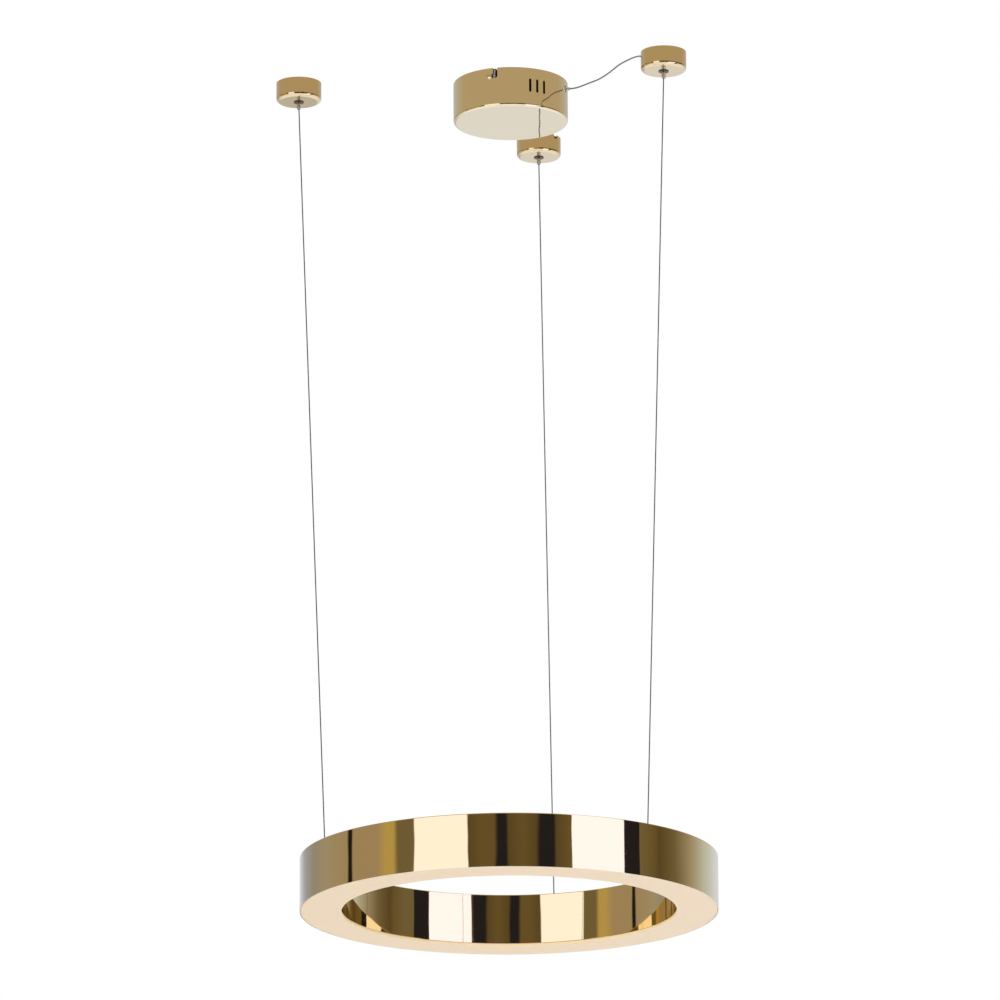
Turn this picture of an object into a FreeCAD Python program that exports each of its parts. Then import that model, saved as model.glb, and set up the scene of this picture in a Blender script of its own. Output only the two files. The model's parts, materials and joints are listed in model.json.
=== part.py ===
import FreeCAD
import Part
import math
import os

Vector = FreeCAD.Vector

# A round light ring hangs level on three steel cables. Each cable runs up into a
# cable gripper in its own small ceiling canopy. A larger canopy beside them holds
# the lamp's driver, and a thin supply cord crosses from it to one small canopy.
# Lengths are millimetres and angles are degrees. The ceiling is the plane z = 0,
# the origin is the centre of the large canopy's bracket, and everything hangs
# below it. Headings are measured from -Y, the side shown first, towards +X.

# ---- light ring ---------------------------------------------------------------
ring_outer_d = 500.0
ring_width = 50.0
ring_height = 64.0
ring_drop = 1028.0  # ceiling to the ring's lower edge
ring_x = -7.0
ring_y = 28.0
housing_wall = 1.2
housing_edge_r = 0.6
diffuser_t = 3.0
diffuser_edge_r = 0.4
diffuser_joint = 0.3  # open joint between the inner wall's edge and the diffuser
diffuser_fit = 0.2
spigot_t = 2.0
spigot_h = 4.0
tray_t = 1.5
tray_margin = 1.5
board_t = 1.0
board_width = 24.0
board_count = 4
board_gap = 12.0
first_board_gap_angle = 31.0
chips_per_board = 24
chip_length = 3.5
chip_width = 2.8
chip_t = 0.8
spacer_length = 34.8
spacer_flats = 7.0
stud_d = 4.0
stud_length = 6.0
tray_screw_head_d = 7.5
tray_screw_head_h = 2.6
tray_screw_length = 6.0
link_length = 20.0
link_width = 4.0
link_t = 1.0
link_offset = 8.5  # outwards from the boards' centre line
connector_length = 14.0
connector_width = 10.0
connector_height = 8.0
connector_foot = 7.0
connector_lead = 15.0  # along the ring from the right collar, as an angle
ring_lead_d = 1.6

# ---- suspension ---------------------------------------------------------------
sides = ("left", "right", "rear")
cable_d = 1.5
collar_inset = 23.0  # the ring's outer face to the cables' centres
cable_angle = {"left": 196.0, "right": 316.0, "rear": 76.0}
ball_d = 5.0
ball_neck_d = 2.0
ball_neck_reach = 3.4
ball_fit = 0.06
swing_slope = 0.28  # side clearance in the collar for each unit of height
collar_head_d = 11.0
collar_head_h = 2.5
collar_shank_d = 8.0
collar_length = 12.0
collar_nut_flats = 13.0
collar_nut_h = 4.0

# ---- small canopies and cable grippers ------------------------------------------
left_canopy_x = -259.0
left_canopy_y = -10.0
right_canopy_x = 185.0
right_canopy_y = -122.0
rear_canopy_x = 35.0
rear_canopy_y = 216.0
notch_heading = {"left": 140.0, "right": -96.0, "rear": 50.0}
cup_d = 55.0
cup_h = 24.0
cup_wall = 1.0
cup_edge_r = 2.5
notch_width = 6.0
notch_depth = 5.0
anchor_d = 48.0
anchor_t = 2.0
anchor_hole_d = 4.4
anchor_hole_spacing = 34.0
anchor_boss_d = 14.0
anchor_boss_h = 5.0
gripper_thread_d = 8.0
gripper_thread_play = 0.5
gripper_barrel_d = 10.0
gripper_flange_d = 12.4
gripper_flange_t = 1.0
gripper_hole_clearance = 0.2
lip_height = 3.0
race_slope = 0.0875
race_roof_wall = 1.0
race_height = 9.0
nipple_d = 5.0
nipple_reach = 8.0
nipple_tip_d = 3.8
nipple_tip_h = 1.6
nipple_throat = 4.0  # from the tip up to the narrow part of the bore
nipple_mouth_d = 3.4
cable_bore_d = 1.9
cage_d = 5.6
cage_height = 4.7
locking_ball_d = 2.4
locking_ball_height = 2.4  # above the cage's lower face
locking_ball_count = 3
spring_wire_d = 0.4
spring_mean_d = 4.4
spring_turns = 3
exit_slot_width = 2.6
tail_bend_r = 3.5
tail_reach = 12.0
splice_d = 3.6
splice_length = 6.5
splice_start = 7.0

# ---- large canopy ---------------------------------------------------------------
cover_d = 140.0
cover_h = 49.0
cover_wall = 1.2
cover_edge_r = 3.0
bracket_d = 120.0
bracket_t = 1.5
mains_hole_d = 20.0
slot_spacing = 72.0
slot_width = 5.0
slot_length = 12.0
tab_width = 14.0
tab_length = 17.0
tab_bend_r = 2.5
tab_boss_d = 7.0
tab_boss_h = 1.5
screw_heading = -21.5
screw_depth = 10.3
side_screw_d = 4.0
side_screw_head_d = 7.2
side_screw_head_h = 2.6
entry_heading = -15.5
bayonet_width = 5.4
vent_headings = (20.0, 27.6, 35.6)
vent_width = 2.8
vent_height = 17.0
vent_depth = 22.0
gland_heading = 74.0
gland_depth = 12.0
gland_flange_d = 8.0
gland_flange_t = 1.6
gland_thread_d = 6.0
gland_nose_length = 3.4
gland_nose_d = 3.6
gland_tail = 5.0
gland_nut_flats = 8.5
gland_nut_h = 2.5
supply_cord_d = 1.8
cord_lead = 7.5  # straight out of the gland, and straight in at the cup's notch
cord_rim_height = 3.0  # under the ceiling, where the cord passes the notch
# The cord's bends on the way: share of the way, sideways in mm, height in mm.
cord_bends = (
    (0.102, 0.0, -12.6),
    (0.258, -0.1, -13.0),
    (0.405, 0.0, -13.6),
    (0.583, -0.1, -10.6),
    (0.762, -2.3, -6.8),
    (0.906, -1.9, -4.4),
)
driver_length = 84.0
driver_width = 34.0
driver_height = 22.0
driver_edge_r = 2.0
driver_offset = 31.0
driver_ear = 8.0
driver_ear_t = 2.0
driver_ear_width = 14.0
driver_screw_d = 3.0
driver_screw_head_d = 6.0
driver_screw_head_h = 2.0
output_lead_y = -19.0
output_lead_depth = 14.0
input_lead_d = 3.2
terminal_length = 32.0
terminal_width = 17.0
terminal_height = 14.0
terminal_offset = 24.0
terminal_poles = 3
terminal_entry_d = 4.2
terminal_screw_d = 3.0
terminal_screw_head_d = 5.0

# ---- fits -----------------------------------------------------------------------
running_fit = 0.05
seat_gap = 0.05
loose_fit = 0.2

# ---- levels and radii that follow -------------------------------------------------
ring_r = ring_outer_d / 2
ring_inner_r = ring_r - ring_width
ring_mid_r = ring_r - ring_width / 2
cable_circle_r = ring_r - collar_inset
ring_bottom = -ring_drop
ring_top = ring_bottom + ring_height
plate_under = ring_top - housing_wall
tray_top = plate_under - spacer_length
tray_under = tray_top - tray_t
board_under = tray_under - board_t
inner_edge = ring_bottom + diffuser_t + diffuser_joint

canopy_place = {
    "left": (left_canopy_x, left_canopy_y),
    "right": (right_canopy_x, right_canopy_y),
    "rear": (rear_canopy_x, rear_canopy_y),
}
ball_z = ring_top - ball_d / 2
gripper_top = -(anchor_t + gripper_thread_play)
barrel_top = -(anchor_t + anchor_boss_h)
flange_under = -(cup_h + gripper_flange_t)
race_floor = flange_under + lip_height
race_roof = race_floor + race_height
tip_z = flange_under - nipple_reach
throat_z = tip_z + nipple_throat
cage_under = race_floor + seat_gap
locking_ball_z = cage_under + locking_ball_height
locking_ball_reach = cable_d / 2 + locking_ball_d / 2 + running_fit
race_tilt = math.atan(race_slope)
race_ball_r = locking_ball_reach + (locking_ball_d / 2 + running_fit) / math.cos(race_tilt)
tail_exit_z = race_roof + race_roof_wall + tail_bend_r
cover_r = cover_d / 2
tab_face_r = cover_r - cover_wall - 0.6


# ---- shapes that are used again ----------------------------------------------------
def heading(angle):
    turn = math.radians(angle)
    return Vector(math.sin(turn), -math.cos(turn), 0)


def on_circle(radius, angle, z=0.0):
    turn = math.radians(angle)
    return Vector(radius * math.cos(turn), radius * math.sin(turn), z)


def rounded_outline(corners):
    """A flat closed face in the XZ plane, from corners given as (x, z, corner radius)."""
    points = [Vector(x, 0, z) for x, z, _ in corners]
    starts = []
    arcs = []
    for i, corner in enumerate(points):
        radius = corners[i][2]
        to_last = (points[i - 1] - corner).normalize()
        to_next = (points[(i + 1) % len(points)] - corner).normalize()
        if radius == 0:
            starts.append((corner, corner))
            arcs.append(None)
            continue
        half = to_last.getAngle(to_next) / 2
        reach = radius / math.tan(half)
        inward = (to_last + to_next).normalize()
        middle = corner + inward * (radius / math.sin(half) - radius)
        first = corner + to_last * reach
        last = corner + to_next * reach
        starts.append((first, last))
        arcs.append(Part.Arc(first, middle, last).toShape())
    edges = []
    for i, (first, last) in enumerate(starts):
        if arcs[i] is not None:
            edges.append(arcs[i])
        following = starts[(i + 1) % len(starts)][0]
        if last.distanceToPoint(following) > 1e-6:
            edges.append(Part.LineSegment(last, following).toShape())
    return Part.Face(Part.Wire(edges))


def turned(corners):
    """A solid turned about the Z axis from (radius, z, corner radius) corners."""
    face = rounded_outline(corners)
    return face.revolve(Vector(0, 0, 0), Vector(0, 0, 1), 360)


def rod(radius, low, high, x=0.0, y=0.0):
    return Part.makeCylinder(radius, high - low, Vector(x, y, low))


def bar(radius, start, end):
    return Part.makeCylinder(radius, (end - start).Length, start, end - start)


def block(x_size, y_size, low, high, x=0.0, y=0.0):
    corner = Vector(x - x_size / 2, y - y_size / 2, low)
    return Part.makeBox(x_size, y_size, high - low, corner)


def hexagon(flats, low, high, x=0.0, y=0.0):
    corner_r = flats / math.sqrt(3)
    points = [Vector(x, y, low) + on_circle(corner_r, 60 * k) for k in range(7)]
    face = Part.Face(Part.makePolygon(points))
    return face.extrude(Vector(0, 0, high - low))


def moved(shape, x=0.0, y=0.0, z=0.0, turn=0.0):
    """The shape turned about the Z axis and then carried to a place."""
    copy = shape.copy()
    copy.rotate(Vector(0, 0, 0), Vector(0, 0, 1), turn)
    copy.translate(Vector(x, y, z))
    return copy


def faced(shape, angle):
    """A shape built facing -Y, turned to face a heading."""
    return moved(shape, turn=angle)


def rounded_slot(width, length, thickness_low, thickness_high):
    """A slot's cutter along Z, centred on the origin and cutting along Y."""
    straight = length - width
    box = Part.makeBox(
        width,
        thickness_high - thickness_low,
        straight,
        Vector(-width / 2, thickness_low, -straight / 2),
    )
    ends = [
        Part.makeCylinder(
            width / 2,
            thickness_high - thickness_low,
            Vector(0, thickness_low, sign * straight / 2),
            Vector(0, 1, 0),
        )
        for sign in (-1, 1)
    ]
    return box.multiFuse(ends)


def tube_path(points):
    """Straight runs joined by tangent arcs, and the arcs' radii."""
    edges = []
    radii = []
    start = points[0]
    for i in range(1, len(points) - 1):
        back = points[i - 1] - points[i]
        ahead = points[i + 1] - points[i]
        turn = math.pi - back.getAngle(ahead)
        shorter = min(back.Length, ahead.Length)
        radius = 0.45 * shorter / math.tan(turn / 2)
        reach = 0.45 * shorter
        first = points[i] + back.normalize() * reach
        last = points[i] + ahead.normalize() * reach
        inward = (back + ahead).normalize()
        middle = points[i] + inward * (radius / math.cos(turn / 2) - radius)
        edges.append(Part.LineSegment(start, first).toShape())
        edges.append(Part.Arc(first, middle, last).toShape())
        radii.append(radius)
        start = last
    edges.append(Part.LineSegment(start, points[-1]).toShape())
    return Part.Wire(edges), radii


def cord(name, points, diameter):
    """A round cord along a route, with its arcs' radii and its volume printed."""
    points = [Vector(*p) for p in points]
    path, radii = tube_path(points)
    along = points[1] - points[0]
    section = Part.Wire(Part.makeCircle(diameter / 2, points[0], along))
    solid = path.makePipeShell([section], True, False)
    expected = math.pi * diameter**2 / 4 * path.Length
    least = min(radii) if radii else 0
    print(
        f"{name}: length {path.Length:.1f}, radii {[round(r, 1) for r in radii]}, "
        f"least {least:.1f}, volume / expected {solid.Volume / expected:.4f}"
    )
    return solid


def screw(shank_d, head_d, head_h, length, edge_r):
    """A round-headed screw. The head hangs below z = 0 and the shank points up."""
    head = turned(
        [
            (0, -head_h, 0),
            (head_d / 2, -head_h, edge_r),
            (head_d / 2, 0, 0),
            (0, 0, 0),
        ]
    )
    return head.fuse(rod(shank_d / 2, 0, length))


# ---- large canopy -----------------------------------------------------------------
def ceiling_bracket():
    """Round steel plate with two ears bent down for the cover's side screws."""
    plate = rod(bracket_d / 2, -bracket_t, 0)
    ear = rounded_outline(
        [
            (bracket_d / 4, 0, 0),
            (tab_face_r, 0, tab_bend_r),
            (tab_face_r, -tab_length, 0),
            (tab_face_r - bracket_t, -tab_length, 0),
            (tab_face_r - bracket_t, -bracket_t, tab_bend_r - bracket_t),
            (bracket_d / 4, -bracket_t, 0),
        ]
    ).extrude(Vector(0, tab_width, 0))
    ear.translate(Vector(0, -tab_width / 2, 0))
    boss_start = tab_face_r - bracket_t - tab_boss_h
    boss = Part.makeCylinder(
        tab_boss_d / 2, tab_boss_h, Vector(boss_start, 0, -screw_depth), Vector(1, 0, 0)
    )
    thread = Part.makeCylinder(
        side_screw_d / 2 + running_fit,
        tab_face_r,
        Vector(boss_start - 1, 0, -screw_depth),
        Vector(1, 0, 0),
    )
    ear = ear.fuse(boss).cut(thread)
    ears = [moved(ear, turn=screw_heading - 90 + k * 180) for k in range(2)]
    plate = plate.multiFuse(ears)
    holes = [rod(mains_hole_d / 2, -bracket_t, 0)]
    straight = slot_length - slot_width
    slot = block(straight, slot_width, -bracket_t, 0)
    for sign in (-1, 1):
        slot = slot.fuse(rod(slot_width / 2, -bracket_t, 0, sign * straight / 2))
    for sign in (-1, 1):
        x = sign * (driver_length + driver_ear) / 2
        terminal_x = sign * terminal_length / terminal_poles / 2
        holes.append(moved(slot, sign * slot_spacing / 2))
        holes.append(rod(driver_screw_d / 2 + running_fit, -bracket_t, 0, x, -driver_offset))
        holes.append(
            rod(terminal_screw_d / 2 + running_fit, -bracket_t, 0, terminal_x, terminal_offset)
        )
    for hole in holes:
        plate = plate.cut(hole)
    return plate


def canopy_cover():
    """Deep drawn cover with bayonet slots, vents and the cord's hole."""
    inner_r = cover_r - cover_wall
    inner_edge_r = cover_edge_r - cover_wall
    shell = turned(
        [
            (0, -cover_h, 0),
            (cover_r, -cover_h, cover_edge_r),
            (cover_r, 0, 0),
            (inner_r, 0, 0),
            (inner_r, -cover_h + cover_wall, inner_edge_r),
            (0, -cover_h + cover_wall, 0),
        ]
    )
    wall_low = -cover_r - 1
    wall_high = -cover_r + 2 * cover_wall + 1
    cuts = []
    for half_turn in (0, 180):
        entry = rounded_slot(bayonet_width, 2 * screw_depth + bayonet_width, wall_low, wall_high)
        cuts.append(faced(entry, entry_heading + half_turn))
        sector = rounded_outline(
            [
                (cover_r - 2 * cover_wall, -screw_depth - bayonet_width / 2, 0),
                (cover_r + 1, -screw_depth - bayonet_width / 2, 0),
                (cover_r + 1, -screw_depth + bayonet_width / 2, 0),
                (cover_r - 2 * cover_wall, -screw_depth + bayonet_width / 2, 0),
            ]
        ).revolve(Vector(0, 0, 0), Vector(0, 0, 1), entry_heading - screw_heading)
        cuts.append(moved(sector, turn=screw_heading - 90 + half_turn))
        end = Part.makeCylinder(
            bayonet_width / 2,
            wall_high - wall_low,
            Vector(0, wall_low, -screw_depth),
            Vector(0, 1, 0),
        )
        cuts.append(faced(end, screw_heading + half_turn))
        for vent_heading in vent_headings:
            vent = rounded_slot(vent_width, vent_height, wall_low, wall_high)
            vent.translate(Vector(0, 0, -vent_depth))
            cuts.append(faced(vent, vent_heading + half_turn))
    gland_hole = Part.makeCylinder(
        gland_thread_d / 2 + loose_fit,
        wall_high - wall_low,
        Vector(0, wall_low, -gland_depth),
        Vector(0, 1, 0),
    )
    cuts.append(faced(gland_hole, gland_heading))
    for cutter in cuts:
        shell = shell.cut(cutter)
    return shell


def side_screws():
    """Two round-headed screws that hold the cover to the bracket's ears."""
    length = cover_r - tab_face_r + bracket_t + tab_boss_h
    one = turned(
        [
            (0, 0, 0),
            (side_screw_head_d / 2, 0, 0),
            (side_screw_head_d / 2, side_screw_head_h, side_screw_head_h * 0.8),
            (0, side_screw_head_h, 0),
        ]
    ).fuse(rod(side_screw_d / 2, -length - seat_gap, 0))
    one.rotate(Vector(0, 0, 0), Vector(1, 0, 0), 90)
    one.translate(Vector(0, -cover_r - seat_gap, -screw_depth))
    return Part.makeCompound([faced(one, screw_heading + k * 180) for k in range(2)])


def led_driver():
    """Moulded driver case with a fixing ear at each end and two lead outlets."""
    top = -bracket_t
    case = block(driver_length, driver_width, top - driver_height, top, 0, -driver_offset)
    upright = [e for e in case.Edges if abs(e.BoundBox.ZLength - driver_height) < 1e-6]
    case = case.makeFillet(driver_edge_r, upright)
    ears = block(
        driver_length + 2 * driver_ear,
        driver_ear_width,
        top - driver_ear_t,
        top,
        0,
        -driver_offset,
    )
    case = case.fuse(ears)
    for sign in (-1, 1):
        x = sign * (driver_length / 2 + driver_ear / 2)
        case = case.cut(
            rod(driver_screw_d / 2 + loose_fit, top - driver_ear_t, top, x, -driver_offset)
        )
    return case


def driver_screws():
    one = screw(
        driver_screw_d,
        driver_screw_head_d,
        driver_screw_head_h,
        driver_ear_t + bracket_t - loose_fit,
        0.6,
    )
    z = -bracket_t - driver_ear_t
    reach = driver_length / 2 + driver_ear / 2
    return Part.makeCompound([moved(one, s * reach, -driver_offset, z) for s in (-1, 1)])


def terminal_block():
    """Mains terminal block with an entry and two clamp holes for each pole."""
    top = -bracket_t
    pitch = terminal_length / terminal_poles
    body = block(terminal_length, terminal_width, top - terminal_height, top, 0, terminal_offset)
    entry_z = top - terminal_height / 2
    for k in range(terminal_poles):
        x = (k - (terminal_poles - 1) / 2) * pitch
        tunnel = Part.makeCylinder(
            terminal_entry_d / 2,
            terminal_width,
            Vector(x, terminal_offset - terminal_width / 2, entry_z),
            Vector(0, 1, 0),
        )
        body = body.cut(tunnel)
        for side in (-1, 1):
            y = terminal_offset + side * terminal_width / 4
            clamp = rod(terminal_entry_d / 2 * 0.8, top - terminal_height, entry_z, x, y)
            body = body.cut(clamp)
    for side in (-1, 1):
        hole = rod(
            terminal_screw_d / 2 + loose_fit,
            top - terminal_height,
            top,
            side * pitch / 2,
            terminal_offset,
        )
        pocket = rod(
            terminal_screw_head_d / 2 + loose_fit,
            top - terminal_height,
            top - terminal_height / 2,
            side * pitch / 2,
            terminal_offset,
        )
        body = body.cut(hole).cut(pocket)
    return body


def terminal_screws():
    z = -bracket_t - terminal_height / 2
    one = screw(
        terminal_screw_d,
        terminal_screw_head_d,
        terminal_screw_d * 0.6,
        terminal_height / 2 + bracket_t - loose_fit,
        0.5,
    )
    reach = terminal_length / terminal_poles / 2
    return Part.makeCompound([moved(one, s * reach, terminal_offset, z) for s in (-1, 1)])


def gland_frame(reach):
    """A point on the gland's axis, reach outside the cover's outer wall."""
    return heading(gland_heading) * (cover_r + reach) + Vector(0, 0, -gland_depth)


def cord_gland():
    """Clear strain relief: a flange, a tapered nose and a threaded tail."""
    inside = cover_wall + gland_nut_h + gland_tail
    bore_r = supply_cord_d / 2 + running_fit
    body = turned(
        [
            (bore_r, -inside, 0),
            (gland_thread_d / 2, -inside, 0),
            (gland_thread_d / 2, seat_gap, 0),
            (gland_flange_d / 2, seat_gap, 0.3),
            (gland_flange_d / 2, gland_flange_t, 0.5),
            (gland_nose_d / 2 + 0.8, gland_flange_t, 0),
            (gland_nose_d / 2, gland_flange_t + gland_nose_length, 0.3),
            (bore_r, gland_flange_t + gland_nose_length, 0),
        ]
    )
    body.rotate(Vector(0, 0, 0), Vector(1, 0, 0), 90)
    body.translate(Vector(0, -cover_r, -gland_depth))
    return faced(body, gland_heading)


def gland_nut():
    nut = hexagon(gland_nut_flats, -gland_nut_h, 0)
    nut = nut.cut(rod(gland_thread_d / 2 + running_fit, -gland_nut_h, 0))
    nut.rotate(Vector(0, 0, 0), Vector(1, 0, 0), 90)
    nut_corner = gland_nut_flats / math.sqrt(3)
    inner_r = cover_r - cover_wall
    seat = math.sqrt(inner_r**2 - nut_corner**2) - seat_gap
    nut.translate(Vector(0, -seat, -gland_depth))
    return faced(nut, gland_heading)


def supply_cord_route():
    """From the gland's nose, across under the ceiling, in at the right cup's notch."""
    start = gland_frame(gland_flange_t + gland_nose_length)
    cx, cy = canopy_place["right"]
    centre = Vector(cx, cy, 0)
    notch = heading(notch_heading["right"])
    end = centre + notch * (splice_start + splice_length) + Vector(0, 0, tail_exit_z)
    rim = cup_d / 2
    first = start + heading(gland_heading) * cord_lead
    last = centre + notch * (rim + cord_lead) + Vector(0, 0, -cord_rim_height - 0.3)
    way = Vector(last.x - first.x, last.y - first.y, 0)
    side = Vector(-way.y, way.x, 0).normalize()
    bends = []
    for share, sideways, height in cord_bends:
        place = Vector(first.x, first.y, height)
        bends.append(place + way * share + side * sideways)
    rim_point = centre + notch * (rim - cup_wall / 2) + Vector(0, 0, -cord_rim_height)
    return [start, first, *bends, last, rim_point, end + notch * 5.4, end]


def output_lead_route():
    """From the driver's end to the gland's inner end."""
    inner = gland_frame(-(cover_wall + gland_nut_h + gland_tail))
    out = heading(gland_heading)
    start = Vector(driver_length / 2, output_lead_y, -output_lead_depth)
    return [start, start + Vector(6.0, 0, 0), inner - out * 5, inner]


def input_lead_route():
    """From the terminal block round to the driver's other end."""
    pole_x = -terminal_length / terminal_poles
    front = terminal_offset - terminal_width / 2
    entry_z = -bracket_t - terminal_height / 2
    end = Vector(-driver_length / 2, -driver_offset, -output_lead_depth)
    return [
        Vector(pole_x, front, entry_z),
        Vector(pole_x, front - 9.5, entry_z),
        Vector(pole_x - 10.5, front - 21.0, entry_z - 2.5),
        end + Vector(5.0, 22.5, 1.0),
        end + Vector(-7.5, 21.5, 0.3),
        end + Vector(-15.0, 14.0, 0),
        end + Vector(-14.7, 5.5, 0),
        end + Vector(-7.8, 0, 0),
        end,
    ]


# ---- small canopies -------------------------------------------------------------------
def anchor_plate(side):
    """Round ceiling plate with a tapped boss for the cable gripper."""
    x, y = canopy_place[side]
    plate = rod(anchor_d / 2, -anchor_t, 0)
    plate = plate.fuse(rod(anchor_boss_d / 2, barrel_top, -anchor_t))
    plate = plate.cut(rod(gripper_thread_d / 2 + running_fit, barrel_top, -anchor_t))
    for sign in (-1, 1):
        plate = plate.cut(rod(anchor_hole_d / 2, -anchor_t, 0, sign * anchor_hole_spacing / 2))
    return moved(plate, x, y)


def canopy_cup(side):
    """Drawn cup with a rounded lower edge, a centre hole and a cord notch in its rim."""
    x, y = canopy_place[side]
    outer_r = cup_d / 2
    inner_r = outer_r - cup_wall
    hole_r = gripper_barrel_d / 2 + gripper_hole_clearance
    cup = turned(
        [
            (hole_r, -cup_h, 0),
            (outer_r, -cup_h, cup_edge_r),
            (outer_r, 0, 0),
            (inner_r, 0, 0),
            (inner_r, -cup_h + cup_wall, cup_edge_r - cup_wall),
            (hole_r, -cup_h + cup_wall, 0),
        ]
    )
    notch = rounded_slot(notch_width, 2 * notch_depth, -outer_r - 1, -inner_r + 2)
    return moved(cup.cut(faced(notch, notch_heading[side])), x, y)


def race_r(z):
    """Inner radius of the gripper's tapered ball race."""
    return race_ball_r + race_slope * (z - locking_ball_z)


def gripper_body(side):
    """Threaded barrel with a flange, a tapered ball race and a slot for the cable's tail."""
    x, y = canopy_place[side]
    body = turned(
        [
            (0, flange_under, 0),
            (gripper_flange_d / 2, flange_under, 0.3),
            (gripper_flange_d / 2, -cup_h, 0),
            (gripper_barrel_d / 2, -cup_h, 0),
            (gripper_barrel_d / 2, barrel_top, 0),
            (gripper_thread_d / 2, barrel_top, 0),
            (gripper_thread_d / 2, gripper_top, 0.4),
            (0, gripper_top, 0),
        ]
    )
    lip = rod(nipple_d / 2 + running_fit, flange_under, race_floor)
    race = Part.makeCone(
        race_r(race_floor),
        race_r(race_roof),
        race_height,
        Vector(0, 0, race_floor),
    )
    slot_low = race_roof + race_roof_wall
    hole = rod(cable_bore_d / 2 + loose_fit, race_roof, slot_low + 0.1)
    slot_top = tail_exit_z + exit_slot_width / 2
    slot = Part.makeBox(
        exit_slot_width,
        gripper_barrel_d / 2 + exit_slot_width / 2 + 1,
        slot_top - slot_low,
        Vector(-exit_slot_width / 2, -gripper_barrel_d / 2 - 1, slot_low),
    )
    for cutter in (lip, race, hole, faced(slot, notch_heading[side])):
        body = body.cut(cutter)
    return moved(body, x, y)


def gripper_plunger(side):
    """Release nipple with the ball cage on its upper end."""
    x, y = canopy_place[side]
    shaft = turned(
        [
            (0, tip_z, 0),
            (nipple_tip_d / 2, tip_z, 0.3),
            (nipple_d / 2, tip_z + nipple_tip_h, 0.5),
            (nipple_d / 2, cage_under, 0),
            (cage_d / 2, cage_under, 0),
            (cage_d / 2, cage_under + cage_height, 0.3),
            (0, cage_under + cage_height, 0),
        ]
    )
    bore = rod(cable_bore_d / 2, throat_z, cage_under + cage_height)
    mouth = Part.makeCone(
        nipple_mouth_d / 2, cable_bore_d / 2, nipple_throat, Vector(0, 0, tip_z)
    )
    shaft = shaft.cut(bore).cut(mouth)
    for k in range(locking_ball_count):
        port = Part.makeCylinder(
            locking_ball_d / 2 + running_fit,
            cage_d,
            Vector(0, 0, locking_ball_z),
            on_circle(1, 360 / locking_ball_count * k),
        )
        shaft = shaft.cut(port)
    return moved(shaft, x, y)


def locking_balls(side):
    """Steel balls in the cage that the race presses against the cable."""
    x, y = canopy_place[side]
    balls = []
    for k in range(locking_ball_count):
        angle = 360 / locking_ball_count * k
        place = Vector(x, y, 0) + on_circle(locking_ball_reach, angle, locking_ball_z)
        balls.append(Part.makeSphere(locking_ball_d / 2, place))
    return Part.makeCompound(balls)


def gripper_spring(side):
    """Coil spring that presses the ball cage down into the race."""
    x, y = canopy_place[side]
    low = cage_under + cage_height + seat_gap + spring_wire_d / 2
    high = race_roof - seat_gap - spring_wire_d / 2
    eighths = 8 * spring_turns
    rise = (high - low) / eighths
    points = [on_circle(spring_mean_d / 2, 45 * k, low + rise * k) for k in range(eighths + 1)]
    quarters = [
        Part.Arc(points[k], points[k + 1], points[k + 2]).toShape() for k in range(0, eighths, 2)
    ]
    start_edge = quarters[0]
    along = start_edge.tangentAt(start_edge.FirstParameter)
    section = Part.Wire(Part.makeCircle(spring_wire_d / 2, points[0], along))
    coil = Part.Wire(quarters).makePipeShell([section], True, False)
    return moved(coil, x, y)


def cable_tail(side):
    """The cable's upper end: through the gripper and out of its side slot."""
    x, y = canopy_place[side]
    out = heading(notch_heading[side])
    bend_z = tail_exit_z - tail_bend_r
    reach = splice_start if side == "right" else tail_reach
    first = Vector(0, 0, bend_z)
    middle_turn = math.radians(45)
    middle = first + out * (tail_bend_r * (1 - math.cos(middle_turn)))
    middle = middle + Vector(0, 0, tail_bend_r * math.sin(middle_turn))
    last = Vector(0, 0, tail_exit_z) + out * tail_bend_r
    path = Part.Wire(
        [
            Part.LineSegment(Vector(0, 0, throat_z), first).toShape(),
            Part.Arc(first, middle, last).toShape(),
            Part.LineSegment(last, Vector(0, 0, tail_exit_z) + out * reach).toShape(),
        ]
    )
    section = Part.Wire(
        Part.makeCircle(cable_d / 2, Vector(0, 0, throat_z), Vector(0, 0, 1))
    )
    return moved(path.makePipeShell([section], True, False), x, y)


def splice_sleeve():
    """Crimp sleeve that joins the supply cord to the right cable's conductors."""
    x, y = canopy_place["right"]
    out = heading(notch_heading["right"])
    start = Vector(x, y, tail_exit_z) + out * splice_start
    return bar(splice_d / 2, start, start + out * splice_length)


# ---- suspension ---------------------------------------------------------------------
def ball_centre(side):
    return Vector(ring_x, ring_y, ball_z) + on_circle(cable_circle_r, cable_angle[side])


def throat_point(side):
    x, y = canopy_place[side]
    return Vector(x, y, throat_z)


def cable(side):
    """The exposed straight stretch, from the gripper's throat to the swaged ball."""
    top = throat_point(side)
    bottom = ball_centre(side)
    along = (bottom - top).normalize()
    end = bottom - along * ball_neck_reach
    extra = along * cable_d
    body = bar(cable_d / 2, top - extra, end)
    above = block(4 * cable_d, 4 * cable_d, throat_z, throat_z + 4 * cable_d, top.x, top.y)
    return body.cut(above)


def cable_ball(side):
    """Swaged ball with a short neck, fixed on the cable's lower end."""
    centre = ball_centre(side)
    up = (throat_point(side) - centre).normalize()
    ball = Part.makeSphere(ball_d / 2, centre)
    return ball.fuse(bar(ball_neck_d / 2, centre, centre + up * ball_neck_reach))


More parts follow.
